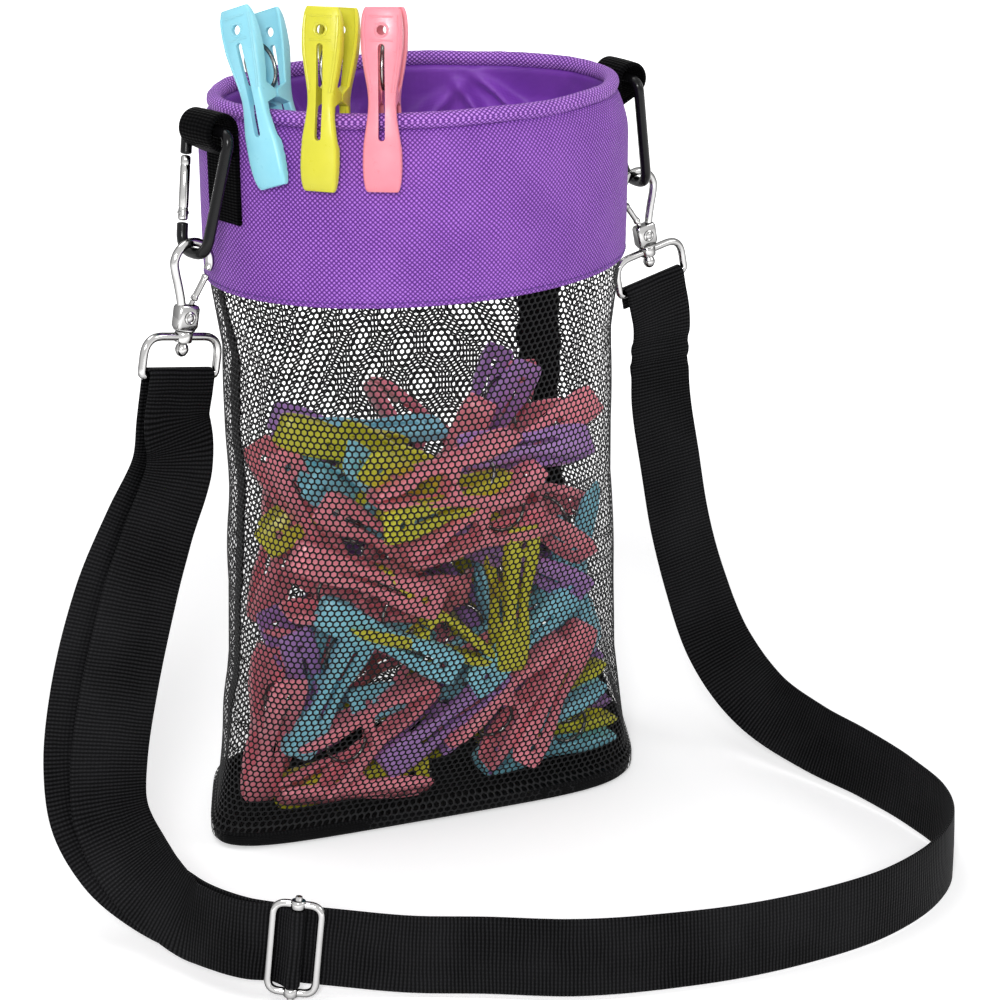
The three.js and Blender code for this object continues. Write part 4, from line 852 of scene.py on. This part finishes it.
def lining_ruck(turn, z):
    low = min(max((318 - z) / 20, 0), 1)
    fold = 0.0
    for centre, slant, wide, middle, tall, height in LINING_FOLDS:
        off = (turn - centre - (z - middle) * slant + 180) % 360 - 180
        fold += height * math.exp(-(off / wide) ** 2) * math.exp(-((z - middle) / tall) ** 2)
    return low * (0.8 + 1.3 * ripple(turn, z, 2, 5, 0.03)) - fold * min((319 - z) / 8, 1)


lining_profile = [(7.0, 319.3), (8.2, 318.6), (8.9, 317)]
lining_profile += [(9.0 - 4.2 * min((317 - z) / 12, 1), z) for z in np.linspace(315.5, 263, 36)]
lining_profile += [(5.0, 261), (4.0, 258)]
lining = band("collar_lining_cloth", lining_profile, lining_ruck, flip=True)
ride(lining, "bag", LINING, "purple_lining", "collar_lining")
hem_profile = [(3.0, 262), (4.2, 261.6), (4.3, 255), (4.3, 249), (3.0, 248.6)]
hem = band("collar_hem_band", hem_profile, lambda turn, z: 0.12 * ripple(turn, z, 7, 14))
ride(hem, "bag", PURPLE, "purple_fabric", "collar_hem")

rim = level(oval(85.8, 64.8, 2, TURNS), 321.8)
rim[:, 2] += np.array([ripple(t, 0, 3, 2.5) for t in TURNS]) * 0.0008
swell = 1 + 0.05 * np.array([ripple(t, 0, 11, 16) for t in TURNS])
piping = merge("rim_piping_cord", [tube_data(rim, 6.4 * MM, (0, 0, 1), True, sides=20, scale=swell)])
ride(piping, "bag", PIPING, "purple_fabric", "rim_piping")


def stitches(name, line, stitch, pitch, diameter):
    """A row of separate thread stitches that lie along a line round the collar."""
    line = resample(line, pitch / 6)
    parts = []
    for mid, way in list(zip(line, tangents(line)))[2:-4:6]:
        out = unit(np.r_[mid[:2] / COLLAR_HALF ** 2, 0])
        pts = [mid + way * stitch * s + out * diameter * lift for s, lift in
               ((-0.5, -0.55), (-0.36, 0.25), (0, 0.42), (0.36, 0.25), (0.5, -0.55))]
        parts.append(tube_data(pts, diameter, np.cross(way, out) + 1e-6, sides=6, round_ends=False))
    return merge(name, parts)


seam = collar_ring(0, HEM_SEAM, shell_ruck, np.r_[TURNS, TURNS[:1]])
sewing = stitches("hem_stitches", seam, 0.0023, 0.0031, 0.0006)
ride(sewing, "bag", THREAD, "purple_fabric")


# Net and base

# Height, half width, half depth, squareness, skew and shear of the net's levels
NET_LEVELS = np.array([
    (1.9, 98.1, 40.1, 5, 0.42, -0.13), (13, 98.1, 40.1, 5, 0.42, -0.13), (60.95, 90.8, 48.8, 3.5, 0.177, -0.055),
    (150, 85.5, 65, 2.4, 0, 0), (216, 87, 66.5, 2.1, 0, 0), (248, 92, 69.5, 2, 0, 0), (262, 92, 69.5, 2, 0, 0)])
FINE = np.linspace(90, 450, 1441)
NET_CELLS, NET_ROW, NET_LOW, NET_HIGH = 166, 2.55, 3.0, 252.0
BASE_SHAPE = (5, 0.42, -0.13)  # squareness, skew and shear


def skewed(half_width, half_depth, square, skew, shear, turns):
    plan = oval(half_width, half_depth, square, turns)
    return np.stack([plan[..., 0] + skew * plan[..., 1], plan[..., 1] + shear * plan[..., 0]], -1)


def net_ring(z):
    """The net's plan at a height, how far round it each of its points lies as a share, and its girth."""
    w, d, square, skew, shear = (np.interp(z, NET_LEVELS[:, 0], NET_LEVELS[:, k]) for k in range(1, 6))
    plan = skewed(w - 0.4, d - 0.4, square, skew, shear, FINE)
    far = distances(plan)
    return plan, far / far[-1], far[-1]


def foot_out(z):
    """How far the net's foot stands out over the base's wall, in millimetres."""
    return 3.1 * np.clip((11 - z) / 4, 0, 1)


def net_places(shares, heights):
    """Points of the net in metres for shares round it and heights in millimetres, with a slight slack outwards."""
    out = np.zeros((len(shares), 3))
    for z in np.unique(heights):
        pick = heights == z
        plan, far, _ = net_ring(z)
        for k in (0, 1):
            out[pick, k] = np.interp(shares[pick] % 1.0, far, plan[:, k])
        out[pick, 2] = z
    slack = np.array([max(0, noise.noise(Vector((p[0] * 0.03, p[1] * 0.03, p[2] * 0.022 + 5)))) for p in out])
    fade = np.clip((out[:, 2] - 13) / 30, 0, 1) * np.clip((246 - out[:, 2]) / 20, 0, 1)
    way = unit(out[:, :2])
    out[:, :2] += way * (2.2 * slack * fade + foot_out(out[:, 2]))[:, None]
    return out * MM


def net_sheet(name, first, last, hole):
    """A knitted hexagon net: every cell is a ring of yarn round its opening, ridged along its middle."""
    row_count = int(round((NET_HIGH - NET_LOW) / NET_ROW))
    rise = (NET_HIGH - NET_LOW) / row_count
    r, c = (a.ravel() for a in np.meshgrid(np.arange(row_count + 1), np.arange(first, last), indexing="ij"))
    share, height = (c + 0.5 * (r % 2)) / NET_CELLS, NET_LOW + r * rise
    corners = [(0, 2 / 3), (0.5, 1 / 3), (0.5, -1 / 3), (0, -2 / 3), (-0.5, -1 / 3), (-0.5, 1 / 3)]
    outer, inner = ([net_places(share + size * x / NET_CELLS, np.round(np.clip(height + size * y * rise, 2, 256), 4))
                     for x, y in corners] for size in (1, hole))
    inner = [p - np.c_[unit(p[:, :2]), np.zeros(len(p))] * 0.00022 for p in inner]
    verts = np.stack(outer + inner, 1).reshape(-1, 3)
    ring = np.array([[i, (i + 1) % 6, 6 + (i + 1) % 6, 6 + i] for i in range(6)])[:, ::-1]
    faces = (np.arange(len(r))[:, None, None] * 12 + ring).reshape(-1, 4)
    sheet = ride(mesh_object(name, verts, faces.tolist()), "bag", NET, "black_net")
    return sheet


net_sheet("net_back", -41, 42, 0.66)
net_front = net_sheet("net_front", 42, 125, 0.72)
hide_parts("net_body")


def seam_tape(name, node, turn, width, sway):
    """A tape up the inside of the net at one turn of it. It sways and crinkles as sewn slack net does."""
    rows = []
    for z in np.linspace(2.4, 249, 100):
        _, far, whole = net_ring(z)
        middle = np.interp(turn if turn >= 90 else turn + 360, FINE, far)
        middle += sway * noise.noise(Vector((z * 0.03, turn, 0)))
        middle += 0.3 * sway * noise.noise(Vector((z * 0.12, turn, 5)))
        broad = width * (1 + 0.25 * noise.noise(Vector((z * 0.09, turn, 9))))
        rows.append(net_places(middle + np.linspace(-0.5, 0.5, 9) * broad / whole, np.full(9, z)))
    grid = np.array(rows)
    way = np.concatenate([unit(grid[..., :2]), np.zeros((*grid.shape[:2], 1))], 2)
    face = grid - way * (0.0022 + foot_out(grid[..., 2:] / MM) * MM)
    back = face - way * 0.001
    strip = merge(name, [grid_data(np.concatenate([face, back[:, ::-1]], 1), wrap=True, caps=True)], sharp=50)
    ride(strip, "bag", CLOTH, "black_webbing", node)


seam_tape("left_tape", "left_seam_tape", 176, 10, 0.012)
seam_tape("right_tape", "right_seam_tape", 27, 22, 0.006)

BASE_TURNS = np.interp(np.linspace(0, 1, 400, endpoint=False), net_ring(5)[1], FINE)
BASE_PROFILE = [
    (60, 0.4), (30, 0.15), (10, 0.0), (3.4, 0.0), (1.6, 0.35), (0.55, 1.2), (0.1, 2.2), (0, 3.4), (0, 4.8), (0.1, 5.9),
    (0.6, 6.7), (1.3, 7.0), (1.9, 6.6), (2.1, 5), (2.4, 2.6), (4.2, 1.8), (30, 1.7), (60, 1.7),
]
base_rows = []
for inset, z in BASE_PROFILE:
    # Small insets follow the edge, and large ones shrink the whole outline
    near, share = (0, max(1 - inset / 62, 0.02)) if inset > 5 else (inset, 1)
    plan = skewed((100 - near) * share, (42 - near) * share, *BASE_SHAPE, BASE_TURNS)
    if 2 < z < 6.8 and inset < 1:
        plan = plan - unit(plan) * np.abs([[1.3 * ripple(t, z, 20, 9)] for t in BASE_TURNS])
    base_rows.append(level(plan, z))
tray = mesh_object("base_tray", *grid_data(base_rows, wrap=True))
ride(tray, "bag", CLOTH, "black_cloth", "base_panel")
edge_line = resample(level(skewed(99.1, 41.1, *BASE_SHAPE, BASE_TURNS), 6.4), 0.0015, True)
binding = merge("base_binding", [tube_data(edge_line, 2.0 * MM, (0, 0, 1), True, sides=12)])
ride(binding, "bag", BINDING, "black_cloth")


# Pegs

LEVER_KEYS = np.array([  # height, half width, outer face, channel floor, flange edge
    (0, 6.0, 7.5, 5.7, 5.7), (1.0, 6.7, 8.5, 5.6, 5.6), (4.2, 7.3, 9.6, 5.6, 5.6), (10, 7.6, 10.0, 5.6, 5.6),
    (16.8, 7.4, 10.2, 5.7, 5.7), (19, 7.1, 10.4, 7.2, 6.8), (21, 6.8, 10.7, 8.3, 7.1), (28, 5.7, 10.5, 8.3, 7.2),
    (32.4, 5.35, 10.3, 7.6, 6.6), (34.5, 5.3, 10.4, 0.8, 0.8), (36, 5.35, 10.5, 0.4, 0.4), (37.5, 5.45, 10.5, 0.8, 0.8),
    (40.2, 5.8, 10.6, 8.2, 5.9), (45, 6.7, 10.9, 9.0, 5.7), (53.2, 7.9, 11.6, 9.7, 6.0), (60, 8.15, 11.5, 9.8, 6.6),
    (65.1, 7.9, 11.2, 9.5, 7.4), (68, 7.4, 10.9, 9.3, 8.2), (69.6, 6.6, 10.6, 9.3, 8.8), (70, 6.2, 10.3, 9.3, 9.0)])
LEVER_Z, EASE = np.linspace(0, 70, 281), 17
SLOT_LOW, SLOT_HIGH, HOLE_Z = 20.9, 55.0, 61.4
ALL_ROUND, PEG_SHARP = 2 * math.pi, 38


def lever_curve(column):
    """A column of the lever's keys along its height, eased over a window of quarter millimetres."""
    raw = np.interp(LEVER_Z, LEVER_KEYS[:, 0], LEVER_KEYS[:, column])
    eased = np.convolve(np.pad(raw, EASE // 2, mode="edge"), np.ones(EASE) / EASE, "valid")
    share = np.clip(np.minimum(LEVER_Z, 70 - LEVER_Z) / 3, 0, 1)
    return raw + (eased - raw) * share


HALF_WIDTH, OUTER_FACE = lever_curve(1), lever_curve(2)


def lever_mesh(name, material):
    """One lever of a peg: a moulded channel with side flanges, toothed jaw, fulcrum ridge, slot and finger hole."""
    heights = np.unique(np.r_[np.linspace(0, 70, 71), LEVER_KEYS[:, 0], np.arange(2.5, 16.5, 0.9)])
    rings = []
    for z in heights:
        w, outer = np.interp(z, LEVER_Z, HALF_WIDTH), np.interp(z, LEVER_Z, OUTER_FACE)
        floor, flange = (np.interp(z, LEVER_KEYS[:, 0], LEVER_KEYS[:, k]) for k in (3, 4))
        if 2 < z < 16.5:
            floor = flange = floor + 0.45 * abs(((z - 2) / 1.8) % 2 - 1) - 0.2
        b, t, e = min(1.5, (outer - flange) * 0.38), 1.5, 0.4
        floor = min(max(floor, flange), outer - 1.2)
        edge = min(flange + e, floor)
        right = [(w - b * 0.85, -outer), (w - b * 0.3, -outer + b * 0.32), (w, -outer + b), (w, -edge),
                 (w - e, -flange), (w - t + e, -flange), (w - t, -edge), (w - t, -floor)]
        left = [(-x, y) for x, y in right[::-1]]
        rings.append([(x * MM, y * MM, z * MM) for x, y in left[-3:] + right + left[:-3]])
    body = merge(name + "_body", [grid_data(rings, wrap=True, caps=True)])

    def outline(path, low, high):
        return grid_data([[(a * MM, y * MM, c * MM) for a, c in path] for y in (low, high)], wrap=True, caps=True)

    slot = arc(1.3, np.linspace(0, math.pi, 9), b=SLOT_HIGH) + arc(1.3, np.linspace(math.pi, ALL_ROUND, 9), b=SLOT_LOW)
    hole = arc(1.9, np.linspace(0, ALL_ROUND, 24, endpoint=False), b=HOLE_Z)
    cutters = merge(name + "_cutters", [outline(slot, -14, 4), outline(hole, -14, 4)])
    cut = body.modifiers.new("cut", "BOOLEAN")
    cut.operation, cut.solver, cut.object = "DIFFERENCE", "EXACT", cutters
    mesh = bpy.data.meshes.new_from_object(body.evaluated_get(bpy.context.evaluated_depsgraph_get()))
    for spent in (body, cutters):
        bpy.data.objects.remove(spent)

    def on_face(x, z, sunk):
        return (x * MM, (sunk - np.interp(z, LEVER_Z, OUTER_FACE)) * MM, z * MM)

    def trim(path, diameter, sunk, closed=False):
        return tube_data([on_face(x, z, sunk) for x, z in path], diameter * MM, (0, 1, 0), closed, sides=8)

    trims = [trim(arc(2.5, np.linspace(0, ALL_ROUND, 28, endpoint=False), b=HOLE_Z), 0.9, 0.12, True)]
    rise = np.linspace(0, 1, 26)
    rib = np.c_[(0.75 + 0.11 * rise) * np.interp(38 + 29 * rise, LEVER_Z, HALF_WIDTH), 38 + 29 * rise]
    trims += [trim(rib * (side, 1), 1.3, 0.28) for side in (-1, 1)]
    trims += [trim([(x, z) for x in np.linspace(-4.6, 4.6, 5)], 0.8, 0.12) for z in (57.5, 66.4)]
    body = link(bpy.data.objects.new(name, mesh))
    return joined(name, [body, merge(name + "_trims", trims)], material)


def joined(name, objects, *materials):
    """One mesh from several objects, which are removed."""
    kinds, verts, faces = [], [], []
    for obj in objects:
        faces += [[i + len(verts) for i in poly.vertices] for poly in obj.data.polygons]
        verts += [tuple(p) for p in moved([v.co for v in obj.data.vertices], obj.matrix_world)]
        kinds += [obj.get("kind", 0)] * len(obj.data.polygons)
    for obj in objects:
        bpy.data.objects.remove(obj)
    mesh = bpy.data.meshes.new(name)
    mesh.from_pydata(verts, [], faces)
    for material in materials:
        mesh.materials.append(material)
    mesh.polygons.foreach_set("material_index", kinds)
    mesh.polygons.foreach_set("use_smooth", [True] * len(kinds))
    mesh.set_sharp_from_angle(angle=math.radians(PEG_SHARP))
    mesh.update()
    return mesh


PEG_PIVOT = 36


coil = arc(9.06, np.linspace(-QUARTER + 0.35, 3 * QUARTER - 0.35, 41), b=PEG_PIVOT + 3.4 + 9.06 * 0.9)
SPRING = merge("spring_shape", [wire(np.array(coil) * MM, "yz", 1.6 * MM, Matrix.Identity(4), sides=10)])
SPRING.data.materials.append(WIRE)
spring_mesh = SPRING.data
bpy.data.objects.remove(SPRING)
LEVER = {"cyan": lever_mesh("lever_cyan", PLASTIC["cyan"])}
for colour in ("yellow", "pink", "violet"):
    LEVER[colour] = LEVER["cyan"].copy()
    LEVER[colour].name = "lever_" + colour
    LEVER[colour].materials[0] = PLASTIC[colour]
HALF_TURN = Matrix.Rotation(math.pi, 4, "Z")


def place_piece(name, mesh, matrix, body, slot, *nodes):
    obj = link(bpy.data.objects.new(name, mesh))
    obj.matrix_world = matrix
    settle(obj, body, slot, *nodes)


RIM_PEGS = {
    "cyan": ((-76.00827, -39.85287, 296.31769), (0.86097, -0.1572, -0.09968, -0.47338)),
    "yellow": ((-62.8095, -50.569, 295.65589), (0.92058, -0.07507, 0.03115, -0.38201)),
    "pink": ((-42.57761, -61.3639, 295.63399), (0.96112, -0.07263, 0.02007, -0.26566)),
}
for colour, (at, turn) in RIM_PEGS.items():
    m = Matrix.Translation(Vector(at) * MM) @ Quaternion(turn).to_matrix().to_4x4()
    slot = colour + "_plastic"
    place_piece(colour + "_front_lever", LEVER[colour], m, colour + "_peg_lever", slot, colour + "_peg_front_lever")
    place_piece(colour + "_back_lever", LEVER[colour], m @ HALF_TURN, "bag", slot, colour + "_peg_back_lever")
    place_piece(colour + "_spring_ring", spring_mesh, m, "bag", "spring_wire", colour + "_peg_spring")


def shut_peg(colour):
    """Both levers shut with their spring, as one mesh about the peg's middle."""
    shut = math.atan2(5.2, PEG_PIVOT)
    down, up = Matrix.Translation((0, 0, -PEG_PIVOT * MM)), Matrix.Translation((0, 0, 1 * MM))
    halves = [link(bpy.data.objects.new("half", LEVER[colour])) for _ in range(2)]
    for obj, turn in zip(halves, (Matrix.Identity(4), HALF_TURN)):
        obj.matrix_world = up @ turn @ Matrix.Rotation(shut, 4, "X") @ down
    spring = link(bpy.data.objects.new("wire", spring_mesh))
    spring.matrix_world = up @ down
    spring["kind"] = 1
    bpy.context.view_layer.update()
    return joined("peg_" + colour, [*halves, spring], PLASTIC[colour], WIRE)


PEG = {colour: shut_peg(colour) for colour in PLASTIC}
PEG_HALF, WAIST_HALF = 0.033, 85.5 * MM
PILE = [  # colour, share of the waist's half width, height, slope and spin
    ("yellow", -0.12, 153, 183, 0), ("pink", -0.5, 122, -26, 0), ("cyan", -0.4, 92, -31, 0),
    ("pink", -0.46, 46, 206, 90), ("yellow", -0.5, 15, 2, 0), ("cyan", 0.36, 80, 208, 0),
    ("pink", 0.56, 46, 235, 0), ("yellow", -0.46, 174, -22, 0), ("cyan", -0.46, 146, 140, 0),
    ("pink", 0.2, 127, 20, 0), ("violet", 0.16, 96, -54, 0), ("violet", -0.74, 66, 106, 0),
    ("yellow", 0.3, 36, 32, 90), ("pink", 0.6, 100, 80, 0), ("violet", 0.46, 164, 62, 0),
]


def peg_turn(slope, spin, tilt=0.0):
    return (Matrix.Rotation(math.radians(tilt), 4, "X") @ Matrix.Rotation(math.radians(90 - slope), 4, "Y")
            @ Matrix.Rotation(math.radians(spin), 4, "Z"))


def middle_line(m):
    """The ends of a peg's middle line."""
    return np.array([m @ Vector((0, 0, z)) for z in (-PEG_HALF, PEG_HALF)])


axes = []
for number, (colour, across, height, slope, spin) in enumerate(PILE, 1):
    node = "pile_peg_%02d_%s" % (number, colour)
    low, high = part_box(node)
    m = Matrix.Translation((across * WAIST_HALF, (low.y + high.y) / 2, height * MM)) @ peg_turn(slope, spin)
    place_piece("peg_%02d_%s" % (number, colour), PEG[colour], m, "bag", colour + "_plastic", node)
    axes.append(middle_line(m))


def apart(a, b):
    """The least distance between two pegs' middle lines."""
    s = np.linspace(0, 1, 9)[:, None]
    p, q = (ends[0] + s * (ends[1] - ends[0]) for ends in (a, b))
    return np.linalg.norm(p[:, None] - q[None], axis=2).min()


def reach_at(z):
    """How far the net stands from the middle at a height, for every half degree."""
    plan = net_ring(z)[0]
    angles = np.arctan2(plan[:, 1], plan[:, 0])
    order = np.argsort(angles)
    far = np.linalg.norm(plan, axis=1)[order]
    return np.interp(np.radians(np.arange(0, 360, 0.5)), angles[order], far, period=ALL_ROUND)


REACH = np.array([reach_at(z) for z in np.arange(2, 256, 4)])


def inside(points, margin):
    """True where points in metres all lie inside the net by a margin in millimetres."""
    row = np.clip(np.round((points[:, 2] / MM - 2) / 4).astype(int), 0, len(REACH) - 1)
    angle = np.round(np.degrees(np.arctan2(points[:, 1], points[:, 0])) * 2).astype(int) % 720
    far = np.hypot(points[:, 0], points[:, 1]) / MM
    return bool((far < REACH[row, angle] - margin).all() and points[:, 2].min() > 0.003)


# The corners of a shut peg: its jaws are narrow and its handles stand apart
CORNERS = np.array([(x * half, y * deep, z) for half, deep, z in ((0.0075, 0.006, -0.0345), (0.008, 0.0155, 0.033))
                    for x in (-1, 1) for y in (-1, 1)])
FILL_TOP, FRONT_SPACING, HEAP_SPACING = 0.183, 0.0098, 0.0115
LOW_TRIES, FRONT_TRIES, HEAP_TRIES = 500, 2600, 9000
SPINS = (0, 90, 40)
rng = np.random.default_rng(11)
colours = ["pink", "cyan", "pink", "violet", "yellow", "pink", "cyan", "violet", "pink", "yellow"]
fill = []


def try_peg(place, turn, spacing):
    """Adds a peg to the fill where it lies inside the net and clear of the others' middle lines."""
    m = Matrix.Translation(Vector(place) * MM) @ turn
    line = middle_line(m)
    if line[:, 2].max() > FILL_TOP or not inside(moved(CORNERS, m), 1.5):
        return False
    if min(apart(line, other) for other in axes) >= spacing:
        axes.append(line)
        fill.append(m)
    return True


# A layer against the front of the net, the lowest pegs lying nearly flat, then the heap behind it
for attempt in range(FRONT_TRIES):
    flat = attempt < LOW_TRIES
    x, z = rng.uniform(-90, 90), rng.uniform(7, 24) if flat else rng.uniform(14, 168)
    if flat:
        slope = rng.choice((0, 180)) + rng.uniform(-20, 20)
    else:
        slope = rng.uniform(50, 130) if abs(x) > 60 else rng.uniform(0, 360)
    turn = peg_turn(slope, rng.choice(SPINS), rng.uniform(-12, 12))
    for y in range(-66, 30, 3):
        if try_peg((x, y, z), turn, FRONT_SPACING):
            break
for attempt in range(HEAP_TRIES):
    place = (rng.uniform(-90, 90), rng.uniform(-50, 58), rng.uniform(8, 164))
    try_peg(place, peg_turn(rng.uniform(0, 360), rng.choice(SPINS), rng.uniform(-30, 30)), HEAP_SPACING)
for count, m in enumerate(fill, 1):
    colour = colours[count % len(colours)]
    place_piece("peg_fill_%02d_%s" % (count, colour), PEG[colour], m, "bag", colour + "_plastic")


# Studio

def make_floor():
    """A pale floor. It turns into the white background away from the object, where no shadow falls."""
    s = Shade("studio_floor", Roughness=0.7, Base_Color=(0.92, 0.92, 0.925, 1), Specular_IOR_Level=0.1,
              Emission_Color=(1, 1, 1, 1))
    away = s.node("ShaderNodeVectorMath", {0: s.place()}, operation="LENGTH").outputs["Value"]
    s.set(Emission_Strength=s.times(s.seen(), s.levels(away, 0.3, 0.8, 0.3, 0.98)))
    plane = mesh_object("floor", [(-4, -4, 0), (4, -4, 0), (4, 4, 0), (-4, 4, 0)], [(0, 1, 2, 3)])
    plane.data.materials.append(s.material)
    plane.location.z = -0.0004
    plane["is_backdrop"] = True


def make_studio():
    """A white world, dimmer as a light than it looks, and three round lamps."""
    scene.world = bpy.data.worlds.new("studio")
    scene.world.use_nodes = True
    s = Nodes(scene.world.node_tree)
    sky = s.tree.nodes["Background"].inputs
    sky["Color"].default_value = (1, 1, 1, 1)
    s.put(sky["Strength"], s.levels(s.seen(), 0, 1, 0.42, 1.0))
    for name, place, aim, size, energy in (("key", (-0.62, -1.12, 0.78), (0, 0, 0.15), 0.34, 11.5),
                                           ("fill", (1.1, -0.9, 1.0), (0, 0, 0.15), 0.7, 4),
                                           ("top", (-0.3, 0.2, 1.7), (0, 0, 0.1), 0.9, 7)):
        lamp = bpy.data.lights.new(name, "AREA")
        lamp.shape, lamp.size, lamp.energy = "DISK", size, energy
        aimed(name, lamp, place, aim)


make_floor()
make_studio()

low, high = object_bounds()
